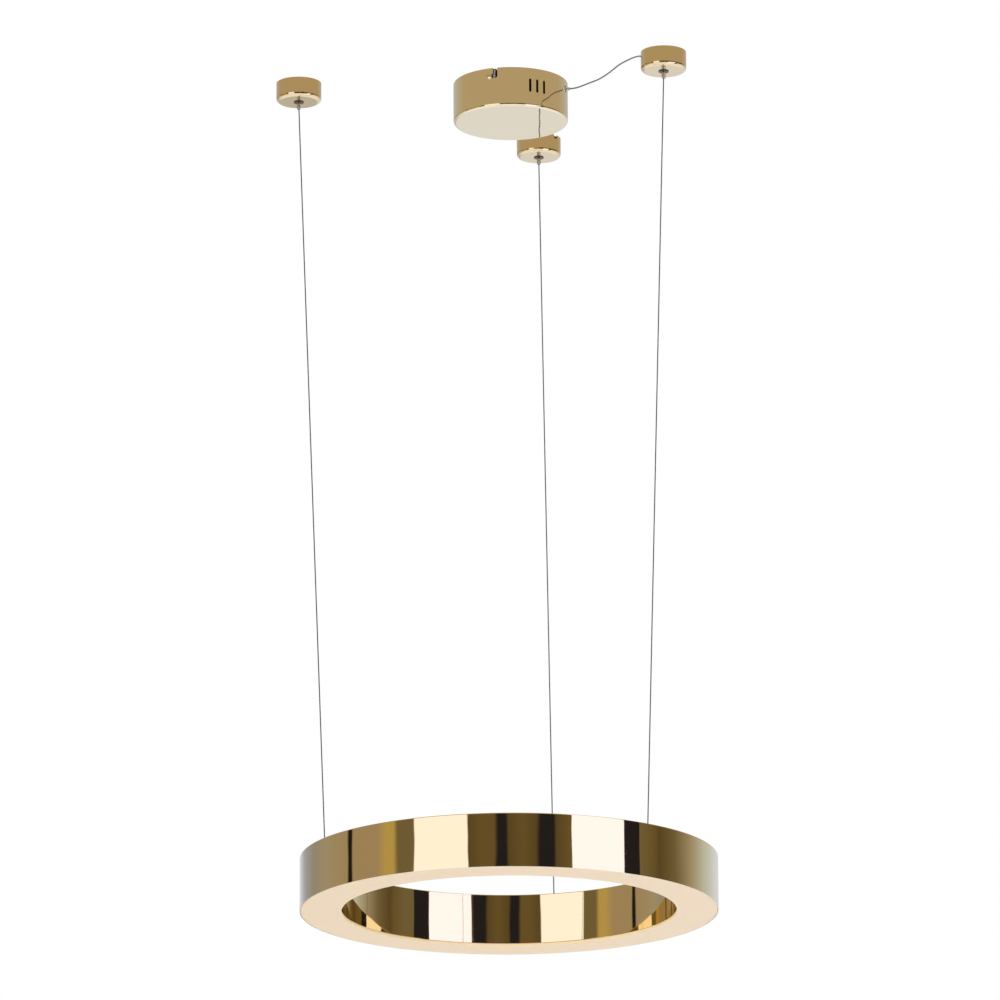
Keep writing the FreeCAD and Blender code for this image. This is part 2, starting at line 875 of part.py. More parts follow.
def cable_collar(side):
    """Hollow bolt in the ring's top plate, with a ball seat and a flared mouth."""
    head_under = ring_top - ball_z
    head_top = head_under + collar_head_h
    foot = head_under - collar_length
    body = turned(
        [
            (0, foot, 0),
            (collar_shank_d / 2, foot, 0.5),
            (collar_shank_d / 2, head_under, 0),
            (collar_head_d / 2, head_under, 0),
            (collar_head_d / 2, head_top, collar_head_h * 0.7),
            (0, head_top, 0),
        ]
    )
    seat_r = ball_d / 2 + ball_fit
    throat_r = ball_neck_d / 2 + running_fit
    flare = Part.makeCone(
        throat_r, throat_r + swing_slope * head_top, head_top, Vector(0, 0, 0)
    )
    seat = Part.makeSphere(seat_r, Vector(0, 0, 0))
    body = body.cut(rod(seat_r, foot, 0)).cut(seat).cut(flare)
    centre = ball_centre(side)
    return moved(body, centre.x, centre.y, centre.z)


def collar_nuts():
    nuts = []
    for side in sides:
        centre = ball_centre(side)
        low = plate_under - collar_nut_h
        nut = hexagon(collar_nut_flats, low, plate_under, centre.x, centre.y)
        bore = rod(collar_shank_d / 2 + running_fit, low, plate_under, centre.x, centre.y)
        nuts.append(nut.cut(bore))
    return Part.makeCompound(nuts)


# ---- light ring -------------------------------------------------------------------------
def on_ring(shape):
    return moved(shape, ring_x, ring_y)


def spacer_places():
    step = 360 / board_count
    return [on_circle(ring_mid_r, first_board_gap_angle + step * k) for k in range(board_count)]


def ring_housing():
    """Welded channel of mirror-polished sheet, open below, with studs under its top."""
    inner_face = ring_inner_r + housing_wall
    outer_face = ring_r - housing_wall
    channel = turned(
        [
            (outer_face, ring_bottom, 0),
            (ring_r, ring_bottom, 0),
            (ring_r, ring_top, housing_edge_r),
            (ring_inner_r, ring_top, housing_edge_r),
            (ring_inner_r, inner_edge, 0),
            (inner_face, inner_edge, 0),
            (inner_face, plate_under, 0),
            (outer_face, plate_under, 0),
        ]
    )
    studs = [
        rod(stud_d / 2, plate_under - stud_length, plate_under, p.x, p.y)
        for p in spacer_places()
    ]
    channel = channel.multiFuse(studs)
    for side in sides:
        p = on_circle(cable_circle_r, cable_angle[side])
        hole = rod(collar_shank_d / 2 + running_fit, plate_under, ring_top, p.x, p.y)
        channel = channel.cut(hole)
    return on_ring(channel)


def diffuser():
    """Opal ring with two upright spigots that press between the housing's walls."""
    outer_r = ring_r - housing_wall - diffuser_fit
    spigot_in = ring_inner_r + housing_wall + diffuser_fit
    shoulder = ring_bottom + diffuser_t
    top = inner_edge + spigot_h
    plate = turned(
        [
            (ring_inner_r, ring_bottom, diffuser_edge_r),
            (outer_r, ring_bottom, diffuser_edge_r),
            (outer_r, top, 0),
            (outer_r - spigot_t, top, 0),
            (outer_r - spigot_t, shoulder, 0),
            (spigot_in + spigot_t, shoulder, 0),
            (spigot_in + spigot_t, top, 0),
            (spigot_in, top, 0),
            (spigot_in, shoulder, 0),
            (ring_inner_r, shoulder, diffuser_edge_r),
        ]
    )
    return on_ring(plate)


def led_tray():
    """Flat aluminium ring that carries the boards and spreads their heat."""
    inner_r = ring_inner_r + housing_wall + tray_margin
    outer_r = ring_r - housing_wall - tray_margin
    tray = rod(outer_r, tray_under, tray_top).cut(rod(inner_r, tray_under, tray_top))
    for p in spacer_places():
        tray = tray.cut(rod(stud_d / 2 + running_fit, tray_under, tray_top, p.x, p.y))
    return on_ring(tray).cut(on_tray(connector_hole(loose_fit)))


def led_board(index):
    """One curved circuit board, a quarter of the ring less the gap at its ends."""
    inner_r = ring_mid_r - board_width / 2
    section = rounded_outline(
        [
            (inner_r, board_under, 0),
            (inner_r + board_width, board_under, 0),
            (inner_r + board_width, tray_under, 0),
            (inner_r, tray_under, 0),
        ]
    )
    gap_angle = math.degrees(board_gap / ring_mid_r)
    span = 360 / board_count - gap_angle
    board = section.revolve(Vector(0, 0, 0), Vector(0, 0, 1), span)
    start = first_board_gap_angle + index * 360 / board_count + gap_angle / 2
    return on_ring(moved(board, turn=start))


def led_chips():
    """The light-emitting chips, evenly spaced along the boards."""
    gap_angle = math.degrees(board_gap / ring_mid_r)
    span = 360 / board_count - gap_angle
    chip = block(chip_width, chip_length, board_under - chip_t, board_under, ring_mid_r)
    chips = []
    for board in range(board_count):
        start = first_board_gap_angle + board * 360 / board_count + gap_angle / 2
        for k in range(chips_per_board):
            angle = start + span * (k + 0.5) / chips_per_board
            chips.append(on_ring(moved(chip, turn=angle)))
    return Part.makeCompound(chips)


def board_links():
    """Small bridges that join the boards at three of the four gaps between them."""
    radius = ring_mid_r + link_offset
    link = block(link_width, link_length, board_under - link_t, board_under, radius)
    step = 360 / board_count
    angles = [first_board_gap_angle + step * k for k in range(board_count - 1)]
    return Part.makeCompound([on_ring(moved(link, turn=angle)) for angle in angles])


def tray_spacers():
    """Hexagonal spacers between the welded studs and the tray."""
    spacers = []
    for p in spacer_places():
        spacer = hexagon(spacer_flats, tray_top, plate_under, p.x, p.y)
        bore = rod(stud_d / 2 + running_fit, tray_top, plate_under, p.x, p.y)
        spacers.append(on_ring(spacer.cut(bore)))
    return Part.makeCompound(spacers)


def tray_screws():
    one = screw(stud_d, tray_screw_head_d, tray_screw_head_h, tray_t + tray_screw_length, 0.8)
    return Part.makeCompound([on_ring(moved(one, p.x, p.y, tray_under)) for p in spacer_places()])


def on_tray(shape):
    """A shape built at the ring's centre line on +X, carried to the connector's place."""
    return on_ring(moved(shape, turn=cable_angle["right"] + connector_lead))


def connector_hole(clearance):
    """The connector's foot, or with a clearance its hole in the tray."""
    size = connector_foot + 2 * clearance
    return block(size, size, tray_under, tray_top, ring_mid_r)


def ring_connector():
    """Plug block on the tray. Its foot passes through the tray onto a board."""
    top = tray_top + connector_height
    body = block(connector_width, connector_length, tray_top, top, ring_mid_r)
    upright = [e for e in body.Edges if abs(e.BoundBox.ZLength - connector_height) < 1e-6]
    body = body.makeFillet(1.0, upright)
    return on_tray(body.fuse(connector_hole(0)))


def ring_lead_route():
    """From under the right cable's ball to the connector."""
    ball = ball_centre("right")
    ball_angle = cable_angle["right"]
    axis = Vector(ring_x, ring_y, 0)
    plug_z = tray_top + connector_height / 2
    plug_side = Vector(ring_mid_r, -connector_length / 2, plug_z)
    turn = FreeCAD.Rotation(Vector(0, 0, 1), ball_angle + connector_lead)
    return [
        ball + Vector(0, 0, -ball_d / 2 - seat_gap),
        ball + Vector(0, 0, -ball_d / 2 - 10),
        axis + on_circle(cable_circle_r - 0.5, ball_angle + 1.8, ball_z - 22),
        axis + on_circle(ring_mid_r + 0.5, ball_angle + 5.5, plug_z + 1.5),
        axis + turn.multVec(plug_side + Vector(0, -11, 0)),
        axis + turn.multVec(plug_side),
    ]


# ---- all nodes -----------------------------------------------------------------------------
def nodes():
    made = {
        "ceiling_bracket": ceiling_bracket(),
        "canopy_cover": canopy_cover(),
        "side_screws": side_screws(),
        "led_driver": led_driver(),
        "driver_screws": driver_screws(),
        "terminal_block": terminal_block(),
        "terminal_screws": terminal_screws(),
        "input_lead": cord("input_lead", input_lead_route(), input_lead_d),
        "output_lead": cord("output_lead", output_lead_route(), supply_cord_d),
        "cord_gland": cord_gland(),
        "gland_nut": gland_nut(),
        "supply_cord": cord("supply_cord", supply_cord_route(), supply_cord_d),
        "splice_sleeve": splice_sleeve(),
        "collar_nuts": collar_nuts(),
        "ring_housing": ring_housing(),
        "diffuser": diffuser(),
        "led_tray": led_tray(),
        "led_chips": led_chips(),
        "board_links": board_links(),
        "tray_spacers": tray_spacers(),
        "tray_screws": tray_screws(),
        "ring_connector": ring_connector(),
        "ring_lead": cord("ring_lead", ring_lead_route(), ring_lead_d),
    }
    for side in sides:
        made[f"anchor_plate_{side}"] = anchor_plate(side)
        made[f"canopy_cup_{side}"] = canopy_cup(side)
        made[f"gripper_body_{side}"] = gripper_body(side)
        made[f"gripper_plunger_{side}"] = gripper_plunger(side)
        made[f"locking_balls_{side}"] = locking_balls(side)
        made[f"gripper_spring_{side}"] = gripper_spring(side)
        made[f"cable_tail_{side}"] = cable_tail(side)
        made[f"cable_{side}"] = cable(side)
        made[f"cable_ball_{side}"] = cable_ball(side)
        made[f"cable_collar_{side}"] = cable_collar(side)
    for index in range(board_count):
        made[f"led_board_{index + 1}"] = led_board(index)
    return made


os.makedirs("parts", exist_ok=True)
for node, shape in nodes().items():
    shape.exportStep(f"parts/{node}.step")
    print(node, len(shape.Solids), round(shape.Volume, 1), shape.isValid())
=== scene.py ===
import json
import math

import bmesh
import bpy
from bpy.props import (
    FloatProperty,
    FloatVectorProperty,
    IntProperty,
    PointerProperty,
    StringProperty,
)
from mathutils import Matrix, Vector


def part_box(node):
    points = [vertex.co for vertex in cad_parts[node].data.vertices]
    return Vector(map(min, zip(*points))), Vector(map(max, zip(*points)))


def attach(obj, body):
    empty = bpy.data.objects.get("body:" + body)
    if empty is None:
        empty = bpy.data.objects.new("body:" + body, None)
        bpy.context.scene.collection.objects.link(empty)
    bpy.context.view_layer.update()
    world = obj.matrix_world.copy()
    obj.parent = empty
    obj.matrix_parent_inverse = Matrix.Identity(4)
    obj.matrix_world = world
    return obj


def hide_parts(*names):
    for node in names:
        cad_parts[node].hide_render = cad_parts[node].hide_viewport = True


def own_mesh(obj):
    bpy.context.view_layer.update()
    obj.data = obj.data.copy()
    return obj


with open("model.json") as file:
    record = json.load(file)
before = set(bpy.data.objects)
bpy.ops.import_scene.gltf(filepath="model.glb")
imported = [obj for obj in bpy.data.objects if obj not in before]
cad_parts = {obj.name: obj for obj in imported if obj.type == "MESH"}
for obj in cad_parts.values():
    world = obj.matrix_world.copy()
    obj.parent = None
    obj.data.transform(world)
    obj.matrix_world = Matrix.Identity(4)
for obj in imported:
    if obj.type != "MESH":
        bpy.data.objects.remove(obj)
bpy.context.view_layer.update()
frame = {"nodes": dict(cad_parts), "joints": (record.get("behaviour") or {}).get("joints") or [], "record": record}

bl_info = {
    "name": "Ring light builder",
    "version": (1, 0, 0),
    "blender": (4, 5, 0),
    "location": "3D View > Sidebar > Ring light",
    "description": "Dresses a suspended light ring, its cables and its ceiling canopies",
    "category": "Object",
}

MM = 0.001
SIDES = ("left", "right", "rear")
LIP = 0.15 * MM  # radius of a cut sheet's deburred edge
GUARD = 0.25 * MM  # how far beside a bend the guard points lie
SHARP = math.radians(30)  # faces that meet at more than this have a sharp edge
SAME_PLACE = 1e-7  # corners closer than this are one
TOWARDS = 0.3  # a face looks a way if its normal goes this far in it
CUT_REACH = 3 * MM  # how far a cutter stands out of the wall on either side
UP = Vector((0, 0, 1))


# ---- places taken from the frame ---------------------------------------------------
def node_centre(node):
    low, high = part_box(node)
    return (Vector(low) + Vector(high)) / 2


def node_width(node):
    low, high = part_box(node)
    return max(high[0] - low[0], high[1] - low[1])


def joint(name):
    return next(j for j in frame["joints"] if j["name"] == name)


def facing(heading):
    """The level direction at a heading in degrees."""
    turn = math.radians(heading)
    return Vector((math.sin(turn), -math.cos(turn), 0))


RING_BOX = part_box("ring_housing")
RING_CENTRE = node_centre("ring_housing")
SWAY_JOINTS = {"left": "ring_sway", "right": "right_cable_sway", "rear": "rear_cable_sway"}


# ---- sizes and colours that a user would change --------------------------------------
def length(name, description, default_mm):
    return FloatProperty(
        name=name, description=description, default=default_mm * MM, unit="LENGTH", precision=5
    )


class RingSizes(bpy.types.PropertyGroup):
    width: length("Width", "Width of the ring's band, seen from below", 50.0)
    wall: length("Wall", "Thickness of the folded sheet", 1.2)
    edge_radius: length("Edge radius", "Radius of the folds along the ring's top", 0.7)
    lower_gap: length("Lower gap", "Height of the diffuser's edge below the inner wall", 3.3)
    collar_hole: length("Collar hole", "Diameter of the holes for the cable collars", 8.4)
    facets: IntProperty(name="Facets", description="Facets round the ring", default=512)


class CanopySizes(bpy.types.PropertyGroup):
    cover_wall: length("Cover wall", "Thickness of the driver canopy's sheet", 1.2)
    cover_edge: length("Cover edge", "Radius of the driver canopy's lower edge", 3.0)
    cup_wall: length("Cup wall", "Thickness of the small canopies' sheet", 1.0)
    cup_edge: length("Cup edge", "Radius of the small canopies' lower edge", 4.5)
    cup_hole: length("Cup hole", "Diameter of the hole for the cable gripper", 10.4)
    notch_width: length("Notch width", "Width of the cord notch in the rim", 6.0)
    notch_depth: length("Notch depth", "Depth of the cord notch in the rim", 5.0)
    screw_depth: length("Screw depth", "Side screws, below the ceiling", 10.3)
    bayonet_width: length("Bayonet width", "Width of the bayonet slots", 5.4)
    vent_width: length("Vent width", "Width of the vent slots", 3.1)
    vent_height: length("Vent height", "Height of the vent slots", 17.0)
    vent_depth: length("Vent depth", "Middle of the vent slots, below the ceiling", 22.0)
    gland_hole: length("Gland hole", "Diameter of the hole for the cord gland", 6.4)
    gland_depth: length("Gland depth", "Cord gland, below the ceiling", 12.0)


class CableSizes(bpy.types.PropertyGroup):
    cable: length("Cable", "Diameter of the suspension cables", 1.5)
    lay: length("Lay", "Height in which the outer strands turn once", 11.0)
    cord: length("Supply cord", "Diameter of the supply cord", 1.8)
    spring_wire: length("Spring wire", "Diameter of the grippers' spring wire", 0.4)
    spring_turns: IntProperty(name="Spring turns", description="Turns of each spring", default=3)


class Finishes(bpy.types.PropertyGroup):
    gold: StringProperty(
        name="Gold", description="Colour that the coated steel reflects, as hex", default="F1DA9B"
    )
    # The small canopies' gold is deeper in tone than the other: a painted shade that darkens their reflections.
    cup_gold_deepened_as_shade: StringProperty(
        name="Small canopies' gold", description="Their coat, as hex", default="EACE8B"
    )
    diffuser: StringProperty(
        name="Diffuser", description="Colour of the opal diffuser, as hex", default="E4CEA1"
    )
    glow: FloatProperty(
        name="Glow", description="Light that the diffuser gives off", default=0.12, min=0.0
    )


class StudioSettings(bpy.types.PropertyGroup):
    camera_place: FloatVectorProperty(
        name="Camera", description="Where the camera stands", subtype="TRANSLATION",
        default=(-5.35 * MM, -8877.5 * MM, -2944.8 * MM), precision=5,
    )
    camera_pitch: FloatProperty(
        name="Pitch", description="Camera's upward tilt", subtype="ANGLE", default=0.26594
    )
    camera_yaw: FloatProperty(
        name="Yaw", description="Camera's turn to the right", subtype="ANGLE", default=-0.0011376
    )
    camera_roll: FloatProperty(
        name="Roll", description="Camera's roll", subtype="ANGLE", default=-0.005
    )
    lens: FloatProperty(
        name="Lens", description="Focal length in mm on a 36 mm sensor", default=274.49
    )
    ambient: FloatProperty(
        name="Ambient", description="Even light from all round", default=0.8, min=0.0
    )
    key: FloatProperty(name="Key lamp", description="Power of the key lamp in W", default=70.0)
    floor_depth: length("Floor depth", "Floor, below the ceiling", 3300.0)


# ---- meshes -----------------------------------------------------------------------
def rounded_profile(corners, steps):
    """Points of a closed outline from (radius, z, corner radius) corners.

    Each rounded corner has a guard point just outside its arc, so that the smooth
    shading of the flat beside it stays flat up to the bend.
    """
    points = []
    for i, (x, z, radius) in enumerate(corners):
        corner = Vector((x, z))
        if radius == 0:
            points.append(corner)
            continue
        before = Vector(corners[i - 1][:2])
        after = Vector(corners[(i + 1) % len(corners)][:2])
        back = (before - corner).normalized()
        ahead = (after - corner).normalized()
        half = back.angle(ahead) / 2
        reach = radius / math.tan(half)
        centre = corner + (back + ahead).normalized() * radius / math.sin(half)
        start = corner + back * reach
        end = corner + ahead * reach
        points.append(start + back * GUARD)
        first = start - centre
        sweep = first.angle_signed(end - centre)
        for k in range(steps + 1):
            turned = first.copy()
            turned.rotate(Matrix.Rotation(-sweep * k / steps, 2))
            points.append(centre + turned)
        points.append(end + ahead * GUARD)
    return points


def mark_edges(bm, angle=SHARP):
    """Smooth faces, with a sharp edge where two of them meet at more than the angle."""
    for face in bm.faces:
        face.smooth = True
    for edge in bm.edges:
        edge.smooth = not (edge.is_manifold and edge.calc_face_angle(0.0) > angle)


def mesh_object(name, bm, angle=SHARP):
    """A shaded object from a bmesh, which it frees."""
    bmesh.ops.remove_doubles(bm, verts=bm.verts, dist=SAME_PLACE)
    bmesh.ops.recalc_face_normals(bm, faces=bm.faces)
    mark_edges(bm, angle)
    mesh = bpy.data.meshes.new(name)
    bm.to_mesh(mesh)
    bm.free()
    piece = bpy.data.objects.new(name, mesh)
    bpy.context.scene.collection.objects.link(piece)
    return piece


def skin(rings):
    """A closed bmesh through rings of places, each with as many places as the first."""
    bm = bmesh.new()
    rings = [[bm.verts.new(place) for place in ring] for ring in rings]
    for ring, following in zip(rings, rings[1:]):
        for k in range(len(ring)):
            n = (k + 1) % len(ring)
            bm.faces.new((ring[k], ring[n], following[n], following[k]))
    bm.faces.new(rings[0][::-1])
    bm.faces.new(rings[-1])
    return bm


def turn_profile(bm, profile, facets, centre=(0.0, 0.0)):
    """Turns a closed outline of (radius, z) points about a vertical axis."""
    turns = [2 * math.pi * k / facets for k in range(facets)]
    rings = []
    for radius, z in profile:
        ring = []  # of one corner only where the radius is 0
        for turn in turns if radius > 1e-9 else (0.0,):
            x = centre[0] + radius * math.cos(turn)
            ring.append(bm.verts.new((x, centre[1] + radius * math.sin(turn), z)))
        rings.append(ring)
    for i, ring in enumerate(rings):
        following = rings[(i + 1) % len(rings)]
        if len(ring) == 1 and len(following) == 1:
            continue
        for k in range(facets):
            n = (k + 1) % facets
            corners = [ring[k % len(ring)], ring[n % len(ring)]]
            corners += [following[n % len(following)], following[k % len(following)]]
            bm.faces.new(tuple(dict.fromkeys(corners)))


def turned_piece(name, corners, facets, steps, centre=(0.0, 0.0)):
    """A piece turned from (radius, z, corner radius) corners, with steps in each bend."""
    bm = bmesh.new()
    turn_profile(bm, rounded_profile(corners, steps), facets, centre)
    return mesh_object(name, bm)


def stadium(width, height, steps=8):
    """Outline of a slot with round ends, centred, as (across, up) points."""
    straight = height / 2 - width / 2
    points = []
    for sign in (1, -1):
        for k in range(steps + 1):
            turn = math.pi * k / steps
            x = sign * width / 2 * math.cos(turn)
            points.append((x, sign * (straight + width / 2 * math.sin(turn))))
    return points


def cutter(outline, heading, low, high, centre=(0.0, 0.0), up=0.0):
    """A prism that cuts a wall from radius low to high, at a heading round the centre."""
    out = facing(heading)
    side = facing(heading + 90)
    base = Vector((centre[0], centre[1], up))
    rings = [[base + out * reach + side * x + UP * z for x, z in outline] for reach in (low, high)]
    return mesh_object("cutter", skin(rings))


def cut(piece, cutters):
    """Cuts the pieces out of the first, exactly, and marks the new sharp edges."""
    for tool in cutters:
        change = piece.modifiers.new("cut", "BOOLEAN")
        change.operation = "DIFFERENCE"
        change.solver = "EXACT"
        change.object = tool
    bpy.context.view_layer.update()
    graph = bpy.context.evaluated_depsgraph_get()
    mesh = bpy.data.meshes.new_from_object(piece.evaluated_get(graph))
    piece.modifiers.clear()
    piece.data = mesh
    for tool in cutters:
        bpy.data.objects.remove(tool)
    bm = bmesh.new()
    bm.from_mesh(mesh)
    bmesh.ops.dissolve_degenerate(bm, edges=bm.edges, dist=SAME_PLACE)
    mark_edges(bm)
    bm.to_mesh(mesh)
    bm.free()
    return piece


def place_piece(piece, body, slot, material, *replaced):
    """Gives a finished piece its material and its body, and hides the nodes that it stands for."""
    piece.data.materials.clear()
    piece.data.materials.append(material)
    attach(piece, body)
    if replaced:
        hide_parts(*replaced)
    return piece


def paint_inside_shade(shell, node, centre, wall, edge):
    """Paints the inside of a drawn shell and the edges of its holes dull grey brown, as painted shade that keeps
    them dark.
    """
    outer = node_width(node) / 2
    bend_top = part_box(node)[0][2] + edge
    # The second material, dull grey brown steel, is painted shade for the inside and the holes' edges.
    shell.data.materials.append(shade_painted_steel())
    for face in shell.data.polygons:
        out = Vector((face.center.x - centre[0], face.center.y - centre[1], 0))
        away = face.normal.dot(out.normalized())
        looks_inside = away < -TOWARDS or face.normal.z > TOWARDS
        inside = out.length < outer - 0.9 * wall and looks_inside
        hole_edge = abs(away) < TOWARDS and face.center.z > bend_top
        if inside or hole_edge:
            face.material_index = 1


# ---- materials ------------------------------------------------------------------------
# A Mix node that mixes colours: its settings and the numbers of its sockets.
MIX_COLOURS = {"data_type": "RGBA"}
FACTOR, FIRST, SECOND, MIXED = 0, 6, 7, 2


def linear(code):
    """An sRGB hex colour as linear light, with its alpha."""
    channels = [int(code[i:i + 2], 16) / 255 for i in (0, 2, 4)]
    return (
        *(c / 12.92 if c <= 0.04045 else ((c + 0.055) / 1.055) ** 2.4 for c in channels),
        1.0,
    )


def add_node(tree, kind, settings=None, inputs=None):
    """Adds a node with its settings, and fills or links its inputs."""
    node = tree.nodes.new(kind)
    for name, value in (settings or {}).items():
        setattr(node, name, value)
    for name, value in (inputs or {}).items():
        if isinstance(value, bpy.types.NodeSocket):
            tree.links.new(value, node.inputs[name])
        else:
            node.inputs[name].default_value = value
    return node


def find_node(tree, kind):
    return next(node for node in tree.nodes if node.bl_idname == kind)


def finish(name, values, *patterns):
    """A material from its shader values and its patterns, made once.

    A pattern is noise whose features are about size metres apart. It may change the
    gloss between two roughnesses, the colour between two tones and the height by depth
    metres. Noise mostly lies at 0.3 to 0.7, which is what the changes are spread over.
    """
    material = bpy.data.materials.get(name)
    if material:
        return material
    material = bpy.data.materials.new(name)
    material.use_nodes = True
    tree = material.node_tree
    tree.nodes.clear()
    places = add_node(tree, "ShaderNodeTexCoord").outputs["Object"]
    shader = add_node(tree, "ShaderNodeBsdfPrincipled", inputs=values)
    add_node(tree, "ShaderNodeOutputMaterial", inputs={"Surface": shader.outputs[0]})
    for pattern in patterns:
        place = places
        if "stretch" in pattern:
            scale = {"Vector": places, "Scale": pattern["stretch"]}
            place = add_node(tree, "ShaderNodeMapping", inputs=scale).outputs["Vector"]
        look = {"Vector": place, "Scale": 1 / pattern["size"], "Detail": pattern["detail"]}
        noise = add_node(tree, "ShaderNodeTexNoise", inputs=look).outputs["Fac"]
        over = {"Value": noise, "From Min": 0.3, "From Max": 0.7}
        if "gloss" in pattern:
            over["To Min"], over["To Max"] = pattern["gloss"]
            gloss = add_node(tree, "ShaderNodeMapRange", inputs=over)
            tree.links.new(gloss.outputs["Result"], shader.inputs["Roughness"])
        if "tones" in pattern:
            share = add_node(tree, "ShaderNodeMapRange", inputs=over).outputs["Result"]
            dark, light = pattern["tones"]
            tones = {FACTOR: share, FIRST: linear(dark), SECOND: linear(light)}
            tone = add_node(tree, "ShaderNodeMix", MIX_COLOURS, tones)
            tree.links.new(tone.outputs[MIXED], shader.inputs["Base Color"])
        if "depth" in pattern:
            relief = {"Height": noise, "Distance": pattern["depth"]}
            bump = add_node(tree, "ShaderNodeBump", inputs=relief)
            tree.links.new(bump.outputs["Normal"], shader.inputs["Normal"])
    return material


def gold_steel(name="mirror-polished gold-coated steel", colour=None):
    """Mirror-polished stainless steel with a vapour-deposited gold coat.

    It shows the room as a mirror does, tinted gold. Faint polishing haze softens the
    reflections unevenly, and the rolled sheet bends straight ones a little.
    """
    colour = colour or bpy.context.scene.ring_light_finishes.gold
    return finish(
        name,
        {"Base Color": linear(colour), "Metallic": 1.0},
        {"size": 14 * MM, "detail": 4.0, "gloss": (0.015, 0.045)},
        {"size": 50 * MM, "detail": 1.0, "depth": 0.32 * MM, "stretch": (1.0, 1.0, 0.7)},
    )


def plain_metal(name, colour, gloss, size, stretch=(1.0, 1.0, 1.0)):
    """A bare or plated metal whose roughness changes over size metres.

    It is warm at a flat angle too, as the gold round it tints what it reflects.
    """
    return finish(
        name,
        {"Base Color": linear(colour), "Metallic": 1.0, "Specular Tint": linear("FFF6E2")},
        {"size": size, "detail": 3.0, "gloss": gloss, "depth": 0.01 * MM, "stretch": stretch},
    )


def shade_painted_steel():
    """Dull, grey brown steel, a painted shade: it keeps the vents dark."""
    return plain_metal("dull steel as painted shade", "4A4038", (0.5, 0.66), 4 * MM)


def moulded_plastic(name, colour, roughness, ior, spark=0.35 * MM):
    """A moulded plastic with the fine spark-eroded skin of its tool."""
    gloss = (roughness - 0.06, roughness + 0.06)
    return finish(
        name,
        {"Base Color": linear(colour), "IOR": ior},
        {"size": spark, "detail": 2.0, "gloss": gloss, "depth": 0.02 * MM},
    )


def opal_acrylic():
    """Opal acrylic with a satin face: milky, evenly lit from behind, a soft sheen."""
    finishes = bpy.context.scene.ring_light_finishes
    values = {
        "Base Color": linear(finishes.diffuser),
        "IOR": 1.49,
        "Subsurface Weight": 0.25,
        "Subsurface Scale": 2 * MM,
        "Subsurface Radius": (1.0, 0.8, 0.6),
        "Emission Color": linear("FFD2A0"),
        "Emission Strength": finishes.glow,
    }
    satin = {"size": 0.5 * MM, "detail": 2.0, "gloss": (0.38, 0.46), "depth": 0.004 * MM}
    return finish("satin opal acrylic", values, satin)


def wire_rope():
    """Stainless steel wire rope: bright crowns on the strands, grey valleys between."""
    return finish(
        "stranded stainless steel wire",
        {"Metallic": 1.0, "Roughness": 0.38},
        {"size": 1.2 * MM, "detail": 3.0, "tones": ("6A6A68", "989896")},
    )


def clear_sheath():
    """Clear PVC over fine tinned strands: grey inside, with a glossy skin."""
    values = {
        "Metallic": 0.35,
        "Roughness": 0.4,
        "Coat Weight": 0.5,
        "Coat Roughness": 0.2,
        "Coat IOR": 1.53,
    }
    strands = {"size": 1.5 * MM, "detail": 3.0, "tones": ("4E4D49", "777671")}
    return finish("clear PVC over tinned strands", values, strands)


def clear_nylon():
    """Clear moulded nylon: see-through, slightly milky, glossy."""
    return finish(
        "clear moulded nylon",
        {"Base Color": linear("E8E6DE"), "Transmission Weight": 0.75, "IOR": 1.53},
        {"size": 2 * MM, "detail": 1.0, "gloss": (0.14, 0.26)},
    )


def phosphor():
    """Yellow phosphor in clear resin, domed and glossy."""
    return finish(
        "phosphor in clear resin",
        {"Roughness": 0.2, "IOR": 1.5},
        {"size": 0.4 * MM, "detail": 2.0, "tones": ("E8BE3C", "F5D768")},
    )


def node_finishes():
    """The finish of every node that keeps its own shape, by material slot."""
    return {
        "gold_steel": gold_steel(),
        "gold_screw": gold_steel(),
        # Zinc-plated and passivated: a grey with a soft, uneven shine.
        "zinc_steel": plain_metal("passivated zinc plate", "A9A290", (0.3, 0.5), 3 * MM),
        # Polished before plating: a warm grey mirror.
        "nickel": plain_metal("polished nickel plate", "C9BFAC", (0.1, 0.2), 5 * MM),
        # Ground and polished: clean highlights.
        "bearing_steel": plain_metal("ground bearing steel", "BDBDBF", (0.1, 0.18), 2 * MM),
        # Black nickel over turned steel: a dark brown mirror, lighter at a flat angle.
        "black_steel": plain_metal("black nickel plate", "5A4E3C", (0.1, 0.2), 2 * MM),
        "cable_steel": wire_rope(),
        # Moulded ABS, spark-eroded and soft, painted dark grey as shade behind the vents, so that the vents before
        # it look black.
        "driver_case": moulded_plastic("moulded ABS, dark grey as painted shade", "262322", 0.48, 1.53),
        # Unfilled polyamide: warm white and slightly waxy.
        "terminal_plastic": moulded_plastic("natural polyamide", "E6E1D0", 0.36, 1.53),
        "clear_plastic": clear_nylon(),
        "cord_sheath": clear_sheath(),
        # Extruded PVC: smooth, with a low gloss.
        "white_sheath": moulded_plastic("white extruded PVC", "ECEBE6", 0.34, 1.53, 1.5 * MM),
        "connector_plastic": moulded_plastic("white moulded polyamide", "EFEEE9", 0.38, 1.53),
        # Rolled aluminium: fine lines along the rolling direction.
        "tray_aluminium": plain_metal(
            "mill-finish aluminium", "D3D5D8", (0.26, 0.4), 4 * MM, (0.12, 1.0, 1.0)
        ),
        # Solder mask over copper: very white, even, half gloss.
        "board_white": moulded_plastic("white solder mask", "F2F2EE", 0.32, 1.5, 1.0 * MM),
        "chip_resin": phosphor(),
        "opal_acrylic": opal_acrylic(),
    }


